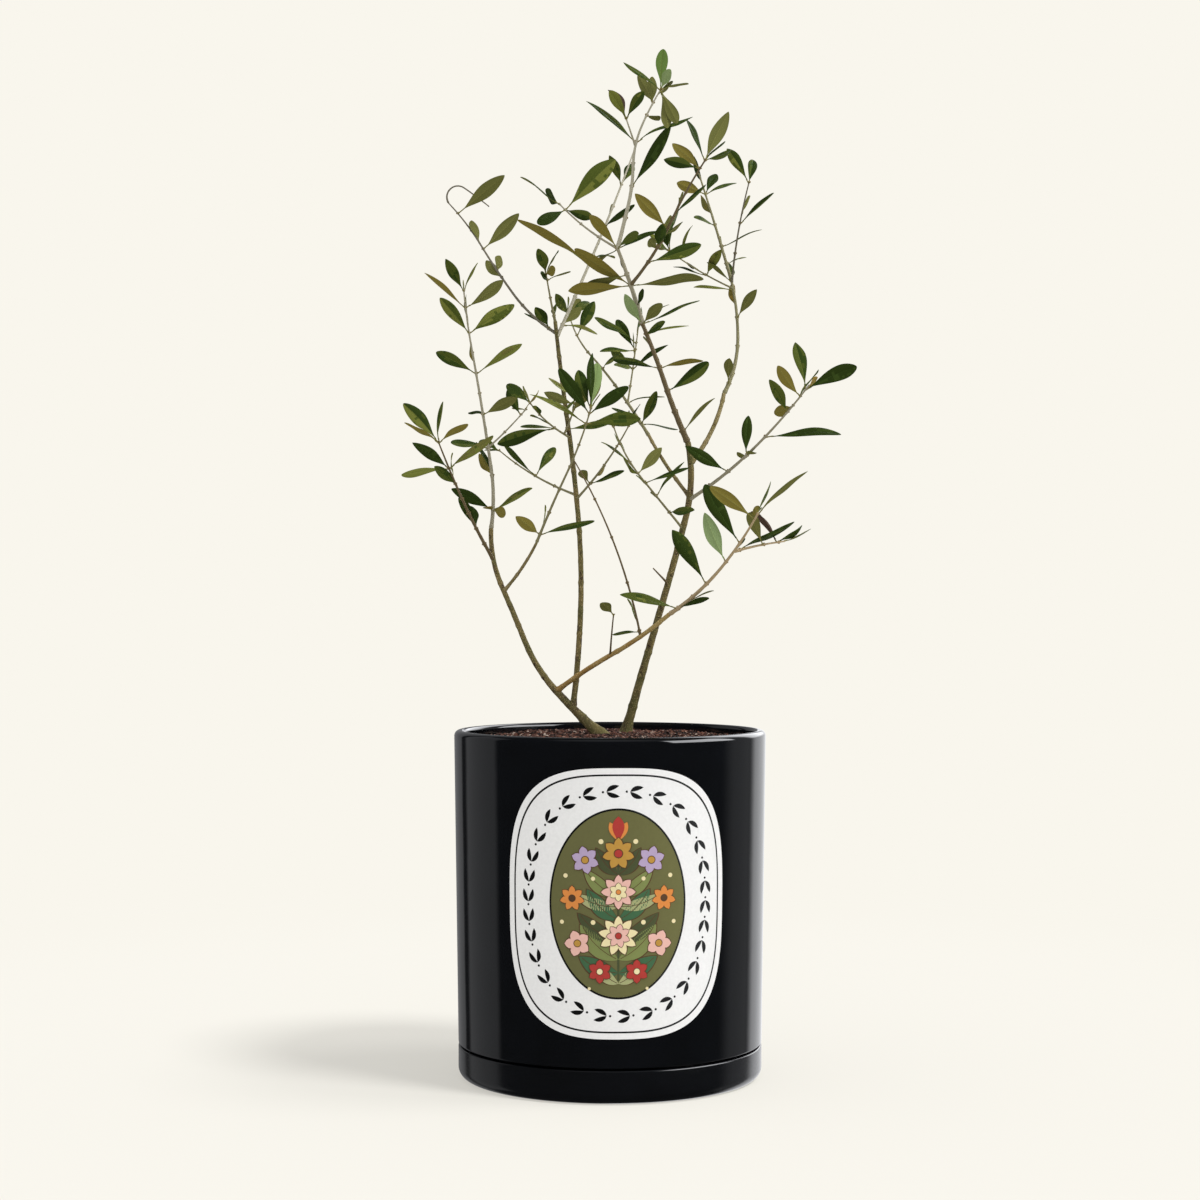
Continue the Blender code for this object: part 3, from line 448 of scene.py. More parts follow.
label.flower((0.0, 9.0), 7.0, 6, "cream_ink", "orange_ink", 14)
label.flower((0.0, 38.0), 12.0, 7, "gold_ink", "red_ink", 10)
label.petal((0.0, 47.0), 0.0, 19.0, 9.0, "red_ink", 9, fullness=1.3)
for side in (-1.0, 1.0):
    label.petal((0.0, 47.0), 24.0 * side, 16.0, 6.0, "orange_ink", 8, fullness=1.3)

ink_finishes = [printed_ink(name, code) for name, code in INKS.items()]
edge_first = len(label.vertices)
edge_steps = 160
for lift in (LABEL_THICKNESS, -INK_STEP):
    for step in range(edge_steps):
        edge = rounded_outline(*full_size, LABEL_SQUARENESS, math.tau * step / edge_steps)
        label.vertices.append(label.on_pot(*edge, lift))
label.faces += ring_bands(edge_first, 2, edge_steps, True)
label.inks += [INK_ORDER.index("white_vinyl")] * edge_steps
label_piece = new_piece("printed_label", label.vertices, label.faces, ink_finishes, label.inks)


# ---------------------------------------------------------------- soil
# Crumbly dark potting compost of bark fines and peat, heaped by hand in low mounds round the
# stems and left 8 mm under the rim.  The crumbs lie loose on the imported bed.

SOIL_EDGE_HEIGHT = 268.5
SOIL_DOME = 5.0
SOIL_RIPPLE = 0.6
SOIL_WAVE_X = 9.0
SOIL_WAVE_Y = 11.0
SOIL_BED_DROP = 0.7       # the bed lies this far under the tops of its crumbs
SOIL_RINGS = 60
SOIL_MOUNDS = ((-56.0, 30.0, 27.0, 2.6), (64.0, 24.0, 24.0, 2.8), (4.0, -62.0, 30.0, 1.4),
               (-12.0, 78.0, 26.0, 2.0))     # x, y, spread and height
SOIL_CLODS = ((7.0, 1.0, 0.0), (2.6, 0.5, 9.0))    # length, height and where in the noise
CRUMBS = 7600
CRUMB_SIZES = (0.7, 1.9)  # half widths
CRUMB_WIDTHS = (0.6, 1.0)      # against its length
CRUMB_HEIGHT = 0.6
CRUMB_MARGIN = 1.5        # no crumb's middle lies nearer to the pot's wall
CHIPS = 420
CHIP_LENGTHS = (2.5, 7.0)
CHIP_WIDTH = 0.3          # against its length
CHIP_HEIGHT = 0.5
CRUMB_DENTS = (0.72, 1.2)
CRUMB_TILTS = (-0.5, 0.5)
CRUMB_STANDS = (0.1, 0.8)  # share of its height that its middle stands over the bed
soil_chance = random.Random("crumbly soil")


def soil_height(x, y):
    """Height of the bed: a low dome, ripples, and the mounds that the hand left."""
    share = min(1.0, math.hypot(x, y) / soil_radius)
    ripple = math.sin(x / SOIL_WAVE_X) * math.cos(y / SOIL_WAVE_Y)
    height = SOIL_EDGE_HEIGHT + SOIL_DOME * (1.0 - share * share) + SOIL_RIPPLE * ripple
    for mound_x, mound_y, spread, rise in SOIL_MOUNDS:
        away = math.hypot(x - mound_x, y - mound_y) / spread
        height += rise * math.exp(-away * away) * (1.0 - share ** 6)
    for length, rise, level in SOIL_CLODS:
        height += rise * noise.noise(Vector((x, y, level)) / length)
    return height - SOIL_BED_DROP


def compost(name, dark, light, grain):
    """Damp compost, roughness 0.95: a matt mix of two browns, mottled crumb by crumb."""
    finish, tree, shader = start_material(name, Roughness=0.95, IOR=1.4)
    place = add_node(tree, "ShaderNodeTexCoord").outputs["Object"]
    mottle = add_node(tree, "ShaderNodeTexNoise", {"Vector": place, "Scale": 1.0 / (grain * MM),
                                                   "Detail": 5.0, "Roughness": 0.7}).outputs["Fac"]
    share = add_node(tree, "ShaderNodeMapRange", {"Value": mottle, "From Min": 0.35,
                                                  "From Max": 0.68}).outputs["Result"]
    colour = add_node(tree, "ShaderNodeMix", {"Factor": share, "A": linear(dark),
                                              "B": linear(light)}, data_type="RGBA")
    pores = add_node(tree, "ShaderNodeBump", {"Height": mottle, "Strength": 0.8,
                                              "Distance": 0.3 * MM})
    tree.links.new(colour.outputs["Result"], shader.inputs["Base Color"])
    tree.links.new(pores.outputs["Normal"], shader.inputs["Normal"])
    return finish


def crumb_material(name, code):
    """A loose crumb, dry on top, so it is a little paler and as matt as the bed."""
    finish, tree, shader = start_material(name, Base_Color=linear(code), IOR=1.4)
    place = add_node(tree, "ShaderNodeTexCoord").outputs["Object"]
    pores = add_node(tree, "ShaderNodeTexNoise", {"Vector": place, "Scale": 1.0 / (0.6 * MM),
                                                  "Detail": 2.0}).outputs["Fac"]
    dry = add_node(tree, "ShaderNodeMapRange", {"Value": pores, "To Min": 0.8, "To Max": 1.0})
    dents = add_node(tree, "ShaderNodeBump", {"Height": pores, "Strength": 0.6,
                                              "Distance": 0.2 * MM})
    tree.links.new(dry.outputs["Result"], shader.inputs["Roughness"])
    tree.links.new(dents.outputs["Normal"], shader.inputs["Normal"])
    return finish


soil_radius = pot_inside_top - 2.0 * GAP
soil_profile = [(0.0, pot_floor_top + GAP), (POT_FLOOR_RADIUS - 2.0 * GAP, pot_floor_top + GAP),
                (pot_inside_corner - 2.0 * GAP, corner_height)]
soil_profile += [(soil_radius * ring / SOIL_RINGS, None) for ring in range(SOIL_RINGS, -1, -1)]
soil = turned_piece("soil_bed", soil_profile,
                    compost("damp_compost", "#150e0b", "#4b3027", 1.7), 80.0, soil_height)
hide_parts("soil")


class Joined:
    """Many small shapes joined into one mesh, each in one of the piece's finishes."""

    def __init__(self, name, finishes):
        self.name = name
        self.finishes = finishes
        self.vertices = []
        self.faces = []
        self.slots = []

    def add(self, vertices, faces, slot):
        """Add one shape; slot is a finish's name, or one name for each face."""
        first = len(self.vertices)
        self.vertices += vertices
        self.faces += [tuple(first + corner for corner in face) for face in faces]
        names = [slot] * len(faces) if isinstance(slot, str) else slot
        order = list(self.finishes)
        self.slots += [order.index(name) for name in names]

    def finish(self, smooth_angle=50.0):
        """Make the piece."""
        return new_piece(self.name, self.vertices, self.faces, list(self.finishes.values()),
                         self.slots, smooth_angle)


ball = bmesh.new()
bmesh.ops.create_icosphere(ball, subdivisions=1, radius=1.0)
BALL_POINTS = [vertex.co.copy() for vertex in ball.verts]
BALL_FACES = [tuple(vertex.index for vertex in face.verts) for face in ball.faces]
ball.free()
CRUMB_TINTS = {"peat_crumb": "#241813", "bark_crumb": "#4f3128", "red_crumb": "#6d4738",
               "dry_crumb": "#8f7264", "pale_grit": "#b7a394"}
CRUMB_SHARES = (34, 36, 18, 9, 3)


def lay_crumb(crumbs, length, width, height):
    """A crumb of one size, dented and turned by chance and dropped on the bed."""
    reach = (soil_radius - CRUMB_MARGIN) * math.sqrt(soil_chance.random())
    angle = soil_chance.uniform(0.0, math.tau)
    x = reach * math.cos(angle)
    y = reach * math.sin(angle)
    turn = soil_chance.uniform(0.0, math.pi)
    tip = soil_chance.uniform(*CRUMB_TILTS)
    centre = Vector((x, y, soil_height(x, y) + height * soil_chance.uniform(*CRUMB_STANDS)))
    points = []
    for point in BALL_POINTS:
        dent = soil_chance.uniform(*CRUMB_DENTS)
        local = Vector((point.x * length, point.y * width, point.z * height)) * dent
        local.z += math.sin(tip) * local.x
        points.append(centre + Vector((local.x * math.cos(turn) - local.y * math.sin(turn),
                                       local.x * math.sin(turn) + local.y * math.cos(turn),
                                       local.z)))
    crumbs.add(points, BALL_FACES, soil_chance.choices(list(CRUMB_TINTS), CRUMB_SHARES)[0])


crumbs = Joined("soil_crumbs", {name: crumb_material(name, code)
                                for name, code in CRUMB_TINTS.items()})
for _ in range(CRUMBS):
    size = soil_chance.uniform(*CRUMB_SIZES)
    lay_crumb(crumbs, size, size * soil_chance.uniform(*CRUMB_WIDTHS), size * CRUMB_HEIGHT)
for _ in range(CHIPS):
    size = soil_chance.uniform(*CHIP_LENGTHS) / 2.0
    lay_crumb(crumbs, size, size * CHIP_WIDTH, CHIP_HEIGHT)
soil_crumbs = crumbs.finish(smooth_angle=30.0)
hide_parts("soil")


# ---------------------------------------------------------------- stems and boughs
# Two young olive stems and the boughs they carry.  The bark is still thin and olive green,
# browning in patches, with tan lenticels and a swelling with two leaf scars at every node.

STEP = 2.0                # spacing of the points on a stem's centre line
ROOT_FLARE = 0.55
ROOT_FLARE_FADE = 7.0
FOOT_SINK = 7.0           # how far a stem's foot goes on down into the soil
COLLAR = 0.32             # swelling where a bough leaves what carries it
COLLAR_FADE = 2.6
COLLAR_HIDDEN = 0.75      # widest that a bough's hidden foot is, as a share of its carrier
END_DOME = (0.5, 0.95, 1.3)    # angles of the rings that round off a stem's end
LIMB_SIDES = 32
LIMB_RING_SPACING = 0.8
NODE_SPACING = (17.0, 26.0)
LAST_NODE_GAP = 6.0       # a limb has no node nearer to its tip
NODE_HALF_LENGTH = 1.5
NODE_SWELL = (0.06, 0.2)  # of the whole ring, as a share of its radius, and of each scar
LUMP_SIZE = 6.0
LUMP_SHARE = 0.05         # of the radius that a lump stands out
RIDGE_LENGTH = 8.0
RIDGE_SHARE = 0.07
LENTICEL_SPACING = 2.3
LENTICEL_RISE = 0.16
GRIT_RISE = 0.045
FOOT_PROBE = 5.0
FRONT = Vector((0.0, -1.0, 0.0))
UP = Vector((0.0, 0.0, 1.0))


def read_along(values, share):
    """Value at a share of the way along evenly spaced values."""
    if len(values) == 1:
        return values[0]
    place = share * (len(values) - 1)
    before = max(0, min(int(place), len(values) - 2))
    part = place - before
    return values[before] * (1.0 - part) + values[before + 1] * part


class Stem:
    """A tapering stem: its centre line, its diameters and its skin.

    lean is in degrees off the upright, towards +X, and toward is in degrees towards the
    front.  Both are read at even steps from the foot to the tip.
    """

    def __init__(self, start, length, lean, toward, thick, flare=0.0, carrier_radius=0.0):
        self.length = length
        self.thick = thick
        self.flare = flare
        self.carrier_radius = carrier_radius
        steps = max(3, round(length / STEP))
        point = Vector(start)
        self.line = [point.copy()]
        for step in range(steps):
            share = (step + 0.5) / steps
            side = math.radians(read_along(lean, share))
            fore = math.radians(read_along(toward, share))
            heading = Vector((math.sin(side) * math.cos(fore), -math.sin(fore),
                              math.cos(side) * math.cos(fore)))
            point = point + heading * (length / steps)
            self.line.append(point.copy())

    def point(self, share):
        """Centre of the stem, or a place straight on from one of its ends."""
        return read_along(self.line, share)

    def heading(self, share):
        """Direction of growth."""
        reach = 1.5 / (len(self.line) - 1)
        ahead = self.point(min(1.0, share + reach))
        behind = self.point(max(0.0, share - reach))
        return (ahead - behind).normalized()

    def radius(self, share):
        """Radius of the plain taper, with the root flare of a trunk."""
        slim = read_along(self.thick, min(1.0, max(0.0, share))) / 2.0
        return slim * (1.0 + self.flare * math.exp(-max(0.0, share) * self.length
                                                   / ROOT_FLARE_FADE))

    def collared_radius(self, along):
        """Radius with the collar that a bough has where it comes out of its carrier."""
        plain = self.radius(along / self.length)
        if not self.carrier_radius:
            return plain
        outside = along - self.carrier_radius
        collared = plain * (1.0 + COLLAR * math.exp(-max(0.0, outside) / COLLAR_FADE))
        if outside < 0.0:
            hidden = min(collared, COLLAR_HIDDEN * self.carrier_radius)
            return collared + (hidden - collared) * (-outside / self.carrier_radius)
        return collared

    def skin(self, sides, spacing, nodes, relief):
        """Closed skin with swollen nodes.  nodes gives (distance, angle of its two scars),
        and relief gives how far the bark stands out at a place."""
        first = -FOOT_SINK if self.flare else 0.0
        count = math.ceil((self.length - first) / spacing) + 1
        rings = [(first + (self.length - first) * step / (count - 1), 1.0) for step in range(count)]
        end_radius = self.collared_radius(self.length)
        rings += [(self.length + end_radius * 0.8 * math.sin(angle), math.cos(angle))
                  for angle in END_DOME]
        vertices = []
        for along, fullness in rings:
            share = along / self.length
            centre = self.point(share)
            heading = self.heading(min(1.0, max(0.0, share)))
            right = heading.cross(FRONT).normalized()
            fore = right.cross(heading)
            plain = self.collared_radius(min(self.length, along)) * fullness
            near = [(math.exp(-((along - place) / NODE_HALF_LENGTH) ** 2), turn)
                    for place, turn in nodes if abs(along - place) < 3.0 * NODE_HALF_LENGTH]
            for step in range(sides):
                angle = math.tau * step / sides
                outward = right * math.cos(angle) + fore * math.sin(angle)
                radius = plain
                for swell, turn in near:
                    scar = NODE_SWELL[1] * math.cos(angle - turn) ** 4 * min(1.0, plain)
                    radius += swell * (NODE_SWELL[0] * plain + scar)
                radius += relief(centre + outward * plain, angle, along, plain) * fullness
                vertices.append(centre + outward * radius)
        top = (len(rings) - 1) * sides
        ends = [tuple(range(sides - 1, -1, -1)), tuple(range(top, top + sides))]
        return vertices, ends[:1] + ring_bands(0, len(rings), sides) + ends[1:]


def old_bark_relief(point, angle, along, radius):
    """Lumps, long shallow ridges, small raised lenticels and grit on the older bark."""
    lumps = noise.noise(point / LUMP_SIZE) * LUMP_SHARE * radius
    wrapped = Vector((2.0 * math.cos(angle), 2.0 * math.sin(angle), along / RIDGE_LENGTH))
    ridges = noise.noise(wrapped) * RIDGE_SHARE * radius
    nearest = noise.voronoi(Vector((point.x, point.y, point.z * 0.7)) / LENTICEL_SPACING)[0][0]
    lenticel = max(0.0, 1.0 - nearest / 0.24) * LENTICEL_RISE
    return lumps + ridges + lenticel + noise.fractal(point / 0.8, 1.0, 2.0, 2) * GRIT_RISE


def olive_bark(name, ground, warm, patch, speck, patch_share):
    """Young olive bark, roughness 0.75: a ground that drifts between two tones, browned
    patches some 5 mm long, and specks where the lenticels are."""
    finish, tree, shader = start_material(name, Roughness=0.75, IOR=1.45)
    place = add_node(tree, "ShaderNodeTexCoord").outputs["Object"]
    stretched = add_node(tree, "ShaderNodeMapping", {"Vector": place, "Scale": (1.0, 1.0, 0.45)})
    drift = add_node(tree, "ShaderNodeTexNoise", {"Vector": place, "Scale": 1.0 / (16.0 * MM),
                                                  "Detail": 2.0}).outputs["Fac"]
    tone = add_node(tree, "ShaderNodeMapRange", {"Value": drift, "From Min": 0.38,
                                                 "From Max": 0.62}).outputs["Result"]
    base = add_node(tree, "ShaderNodeMix", {"Factor": tone, "A": linear(ground),
                                            "B": linear(warm)}, data_type="RGBA")
    blotch = add_node(tree, "ShaderNodeTexNoise",
                      {"Vector": stretched.outputs["Vector"], "Scale": 1.0 / (4.5 * MM),
                       "Detail": 5.0, "Roughness": 0.65}).outputs["Fac"]
    browned = add_node(tree, "ShaderNodeMapRange",
                       {"Value": blotch, "From Min": 0.62 - patch_share, "From Max": 0.74
                        - patch_share}).outputs["Result"]
    patched = add_node(tree, "ShaderNodeMix", {"Factor": browned, "A": base.outputs["Result"],
                                               "B": linear(patch)}, data_type="RGBA")
    dots = add_node(tree, "ShaderNodeTexNoise", {"Vector": place, "Scale": 1.0 / (0.9 * MM),
                                                 "Detail": 1.0}).outputs["Fac"]
    dotted = add_node(tree, "ShaderNodeMapRange", {"Value": dots, "From Min": 0.60,
                                                   "From Max": 0.68}).outputs["Result"]
    colour = add_node(tree, "ShaderNodeMix", {"Factor": dotted, "A": patched.outputs["Result"],
                                              "B": linear(speck)}, data_type="RGBA")
    grain = add_node(tree, "ShaderNodeBump", {"Height": blotch, "Strength": 0.7,
                                              "Distance": 0.25 * MM})
    tree.links.new(colour.outputs["Result"], shader.inputs["Base Color"])
    tree.links.new(grain.outputs["Normal"], shader.inputs["Normal"])
    return finish


stems = {}
old_bark = olive_bark("green_olive_bark", "#56542a", "#6f6239", "#3a2a1b", "#a08c62", 0.10)
middle_bark = olive_bark("browned_olive_bark", "#6d6238", "#83754f", "#453423", "#a89a72", 0.06)
ochre_bark = olive_bark("ochre_olive_bark", "#a28c56", "#916f36", "#5f4422", "#b8a67a", 0.02)


def limb_nodes(name, length):
    """Places of the nodes along a limb: pairs of scars, each pair square to the last."""
    chance = random.Random(name + " nodes")
    places = []
    place = chance.uniform(*NODE_SPACING)
    while place < length - LAST_NODE_GAP:
        places.append((place, math.pi / 2.0 * (len(places) % 2)))
        place += chance.uniform(*NODE_SPACING)
    return places


def limb(name, stem, bark):
    """One limb with its bark in relief."""
    stems[name] = stem
    vertices, faces = stem.skin(LIMB_SIDES, LIMB_RING_SPACING, limb_nodes(name, stem.length),
                                old_bark_relief)
    piece = new_piece(name + "_bark", vertices, faces, [bark], smooth_angle=70.0)
    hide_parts(name)


def plain_soil_height(x, y):
    """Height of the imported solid's own soil, which the stems' feet are cut to."""
    return soil_tree.ray_cast(Vector((x, y, 2.0 * POT_RIM_HEIGHT)), -UP)[0].z


def trunk(name, foot, length, lean, toward, thick, bark):
    """A stem that comes up out of the soil."""
    ground = max(plain_soil_height(foot[0] + step_x * FOOT_PROBE, foot[1] + step_y * FOOT_PROBE)
                 for step_x, step_y in ((0, 0), (1, 0), (-1, 0), (0, 1), (0, -1))) + GAP
    limb(name, Stem((*foot, ground), length, lean, toward, thick, flare=ROOT_FLARE), bark)


def bough(name, parent, at, length, lean, toward, thick, bark):
    """A bough that leaves the side of another limb."""
    carrier = stems[parent]
    limb(name, Stem(carrier.point(at), length, lean, toward, thick,
                    carrier_radius=carrier.radius(at)), bark)


def solid_tree(node):
    """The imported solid's surface in millimetres, for places to be felt on it."""
    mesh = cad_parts[node].data
    return BVHTree.FromPolygons([vertex.co / MM for vertex in mesh.vertices],
                                [tuple(face.vertices) for face in mesh.polygons])


soil_tree = solid_tree("soil")
trunk("left_trunk", foot=(-9, 5), length=193, lean=(-48, -43, -22, -24, 2), toward=(-6,),
      thick=(7.7, 4.9, 4.3, 3.8), bark=old_bark)
trunk("right_trunk", foot=(13, 25), length=242, lean=(15, 16, 16, 14, -11), toward=(4, 5),
      thick=(7.4, 5.6, 5.2, 4.8), bark=old_bark)
bough("middle_stem", "left_trunk", at=0.15, length=314, lean=(7, 2, -5, -8, -6),
      toward=(-1,), thick=(4.8, 4.2, 3.9, 3.1), bark=old_bark)
bough("low_bough", "left_trunk", at=0.25, length=119, lean=(52, 60, 49), toward=(24, 22),
      thick=(4.1, 3.4), bark=ochre_bark)
bough("left_inner_bough", "left_trunk", at=0.73, length=62, lean=(43, 28), toward=(33, 47),
      thick=(2.8, 2.2), bark=middle_bark)
bough("spire_bough", "right_trunk", at=0.93, length=76, lean=(39, 12), toward=(-22, -35),
      thick=(3.8, 3.3), bark=middle_bark)
bough("crossing_bough", "right_trunk", at=0.82, length=69, lean=(-38, -26), toward=(-26, -31),
      thick=(3.1, 2.7), bark=middle_bark)


# ---------------------------------------------------------------- twigs and leaves
# This year's and last year's twigs, with leathery lance-shaped leaves in crossed pairs: deep
# green and waxy above, olive and matt below, each on a short stalk over a small bud.

TWIG_SIDES = 12
TWIG_RING_SPACING = 1.1
TWIG_TIP = 0.72           # share of the last diameter that is left at a twig's tip
TWIG_CARRIER = 1.9        # a twig's collar is made for no thicker a carrier than this
LEAF_WIDTH_SHARE = 0.21
LEAF_WIDTH_EXTRA = 2.3
NARROW_LEAF = 30.0
TYPICAL_LEAF = 36.0
STEEPEST_LEAF = 62.0
EDGE_ON = 63.0
LAST_NODE = 0.99
SPREAD_CHANGES = (-5.0, 5.0)
WIDTH_CHANGES = (0.9, 1.1)
EXTRA_SWINGS = (5.0, 22.0)
ROLL_CHANGES = (-12.0, 12.0)
LEAF_BENDS = (5.0, 24.0)
BACK_LEAF_CHANCE = 0.6
BACK_LEAF_PLACE = 9.0
BACK_LEAF_LENGTHS = (24.0, 40.0)
BACK_LEAF_RISES = (28.0, 52.0)
BACK_LEAF_SWAYS = (-12.0, 12.0)
BACK_LEAF_ROLLS = (66.0, 90.0)
BACK_LEAF_BENDS = (4.0, 14.0)
BACK_LEAF_NUDGE = 3.0
BACK_TINTS = ("d", "d", "d", "g", "g", "b")
NUDGES = ((0, 1), (0, -1), (9, 1), (-9, 1), (9, -1), (-9, -1), (18, 1), (-18, -1))
NODE_TOKEN = re.compile(r"([LRlr])(\d+):(\d+)(u?)([dgobpfx])")
TIP_REACH = 0.05          # a leaf is where its solid is when its tip lies this near to it
LEAF_SECTIONS = 20
SECTION_CROWDING = 1.35   # sections stand closer together towards the tip
STALK_SHARE = 0.085       # share of a leaf's length that is its stalk
STALK_RADII = (0.62, 0.40)
STALK_SIDES = 7
LEAF_THICKNESS = 0.42
RIB_HALF_WIDTH = 0.28
RIB_GROOVE = 0.14
RIB_KEEL = 0.24
LEAF_COLUMNS = (-1.0, -0.8, -0.5, -0.1, 0.0, 0.1, 0.5, 0.8, 1.0)    # the tenths move to the rib
BLADE_EDGE = 0.05         # least half width of the blade
THINNING = (0.5, 0.4)     # shares of its thickness that the blade loses to its edge and its tip
RIB_FADE = 0.7            # share of the rib's width that is gone at the tip
RIB_LIMIT = 0.35          # widest rib, as a share of the blade
RIPPLE_TURN = 9.0         # radians of the edge's ripple along the blade
STALK_RINGS = 5
STALK_REACH = 0.03        # share of the leaf's length that the stalk runs on under the blade
STALK_DROP = 0.3
BUD_SIZE = (0.6, 1.0)     # half width and half length
BUD_SCALES = (0.7, 1.1)
BUD_PLACE = (0.25, 1.1)   # how far a bud's middle is off the twig's bark and up the twig
DRY_FOLD = 1.1            # a dry leaf folds up along its midrib
# between what each leaf's shape varies: sweep and wave are shares of its length, and widest
# is where along it the blade is widest
LEAF_TRAITS = {
    "twist": (-math.radians(16.0), math.radians(16.0)), "fold": (0.10, 0.36),
    "curl": (0.08, 0.34), "sweep": (-0.028, 0.028), "wave": (-0.02, 0.02), "ripple": (0.0, 0.09),
    "phase": (0.0, math.tau), "widest": (0.52, 0.70), "base_taper": (1.2, 1.8),
    "tip_taper": (0.48, 0.78)}
# each tint letter's skins: the upper side's from dark to light, then the underside and ribs
LEAF_FACES = {
    "d": (("dark_leaf", "dark_leaf", "deep_leaf", "green_leaf"), "olive_underside", "dark_rib",
          "under_rib"),
    "g": (("deep_leaf", "green_leaf", "green_leaf", "fresh_leaf"), "olive_underside", "green_rib",
          "under_rib"),
    "o": (("green_leaf", "olive_leaf", "fresh_leaf", "fresh_leaf"), "olive_underside",
          "green_rib", "under_rib"),
    "b": (("olive_leaf", "bronze_leaf", "bronze_leaf", "golden_leaf"), "bronze_underside",
          "green_rib", "under_rib"),
    "p": (("fresh_leaf", "pale_leaf", "pale_leaf", "pale_leaf"), "pale_underside", "pale_rib",
          "pale_rib"),
    "f": (("green_leaf", "bright_leaf", "bright_leaf", "bright_leaf"), "olive_underside",
          "green_rib", "under_rib"),
    "x": (("dry_leaf",), "dry_leaf", "dry_leaf", "dry_leaf"),
}
MOTTLE_LENGTH = 5.0       # a leaf's shade drifts over this many millimetres, and over sections
MOTTLE_DEPTH = 1.5        # how far it drifts through the shades


def leaf_skin(name, code, roughness):
    """A leathery leaf: the waxed upper side has roughness near 0.5, the scaly underside near
    0.8, and either is uneven over a few millimetres, with a faint puckering."""
    finish, tree, shader = start_material(name, Base_Color=linear(code), IOR=1.42,
                                         Specular_IOR_Level=0.04)
    place = add_node(tree, "ShaderNodeTexCoord").outputs["Object"]
    uneven = add_node(tree, "ShaderNodeTexNoise", {"Vector": place, "Scale": 1.0 / (4.0 * MM),
                                                   "Detail": 1.0}).outputs["Fac"]
    wax = add_node(tree, "ShaderNodeMapRange", {"Value": uneven, "From Min": 0.3, "From Max": 0.7,
                                                "To Min": roughness, "To Max": roughness + 0.15})
    pucker = add_node(tree, "ShaderNodeBump", {"Height": uneven, "Strength": 0.4,
                                               "Distance": 0.12 * MM})
    tree.links.new(wax.outputs["Result"], shader.inputs["Roughness"])
    tree.links.new(pucker.outputs["Normal"], shader.inputs["Normal"])
    return finish


def twig_skin(name, code):
    """Smooth young bark, roughness 0.65, with fine lengthwise wrinkles."""
    finish, tree, shader = start_material(name, Base_Color=linear(code), IOR=1.45)
    place = add_node(tree, "ShaderNodeTexCoord").outputs["Object"]
    wrinkles = add_node(tree, "ShaderNodeTexNoise", {"Vector": place, "Scale": 1.0 / (0.9 * MM),
                                                     "Detail": 3.0}).outputs["Fac"]
    dull = add_node(tree, "ShaderNodeMapRange", {"Value": wrinkles, "To Min": 0.55,
                                                 "To Max": 0.8})
    relief = add_node(tree, "ShaderNodeBump", {"Height": wrinkles, "Strength": 0.7,
                                               "Distance": 0.15 * MM})
    tree.links.new(dull.outputs["Result"], shader.inputs["Roughness"])
    tree.links.new(relief.outputs["Normal"], shader.inputs["Normal"])
    return finish


LEAF_SKINS = {name: leaf_skin(name, code, roughness) for name, code, roughness in (
    ("dark_leaf", "#2a3812", 0.45), ("deep_leaf", "#35451a", 0.45),
    ("green_leaf", "#4a5421", 0.46), ("fresh_leaf", "#696e31", 0.48),
    ("olive_leaf", "#666432", 0.55), ("bronze_leaf", "#74682c", 0.55),
    ("golden_leaf", "#8a7230", 0.55), ("bright_leaf", "#586f35", 0.48),
    ("pale_leaf", "#80965e", 0.55), ("olive_underside", "#666738", 0.74),
    ("bronze_underside", "#766c32", 0.74), ("pale_underside", "#829566", 0.74),
    ("dry_leaf", "#54443a", 0.8), ("dark_rib", "#33471c", 0.5), ("green_rib", "#5c6530", 0.5),
    ("pale_rib", "#8b9c66", 0.6), ("under_rib", "#74723f", 0.7), ("leaf_stalk", "#74703c", 0.6))}
TWIG_SKINS = {name: twig_skin(name, code) for name, code in (
    ("grey_twig", "#958f79"), ("pale_twig", "#aaa591"), ("olive_twig", "#7f7a58"),
    ("dusk_twig", "#6a6454"), ("tan_twig", "#a89472"), ("brown_twig", "#64563a"),
    ("twig_bud", "#8d7a52"))}


def young_bark_relief(point, angle, along, radius):
    """Shallow wrinkles on a young twig."""
    wrapped = Vector((1.5 * math.cos(angle), 1.5 * math.sin(angle), along / 3.0))
    return noise.noise(wrapped) * 0.04 * radius + noise.noise(point / 0.8) * 0.015


def leaf_width(length):
    """Leaves are longer than they are wide by a rule; the smallest are rounder."""
    return LEAF_WIDTH_SHARE * max(length, NARROW_LEAF) + LEAF_WIDTH_EXTRA


def turned_aside(along, angle):
    """The twig's direction laid in the upright plane across the front and turned in it."""
    flat = Vector((along.x, 0.0, along.z)).normalized()
    return Vector((flat.x * math.cos(angle) + flat.z * math.sin(angle), 0.0,
                   flat.z * math.cos(angle) - flat.x * math.sin(angle)))


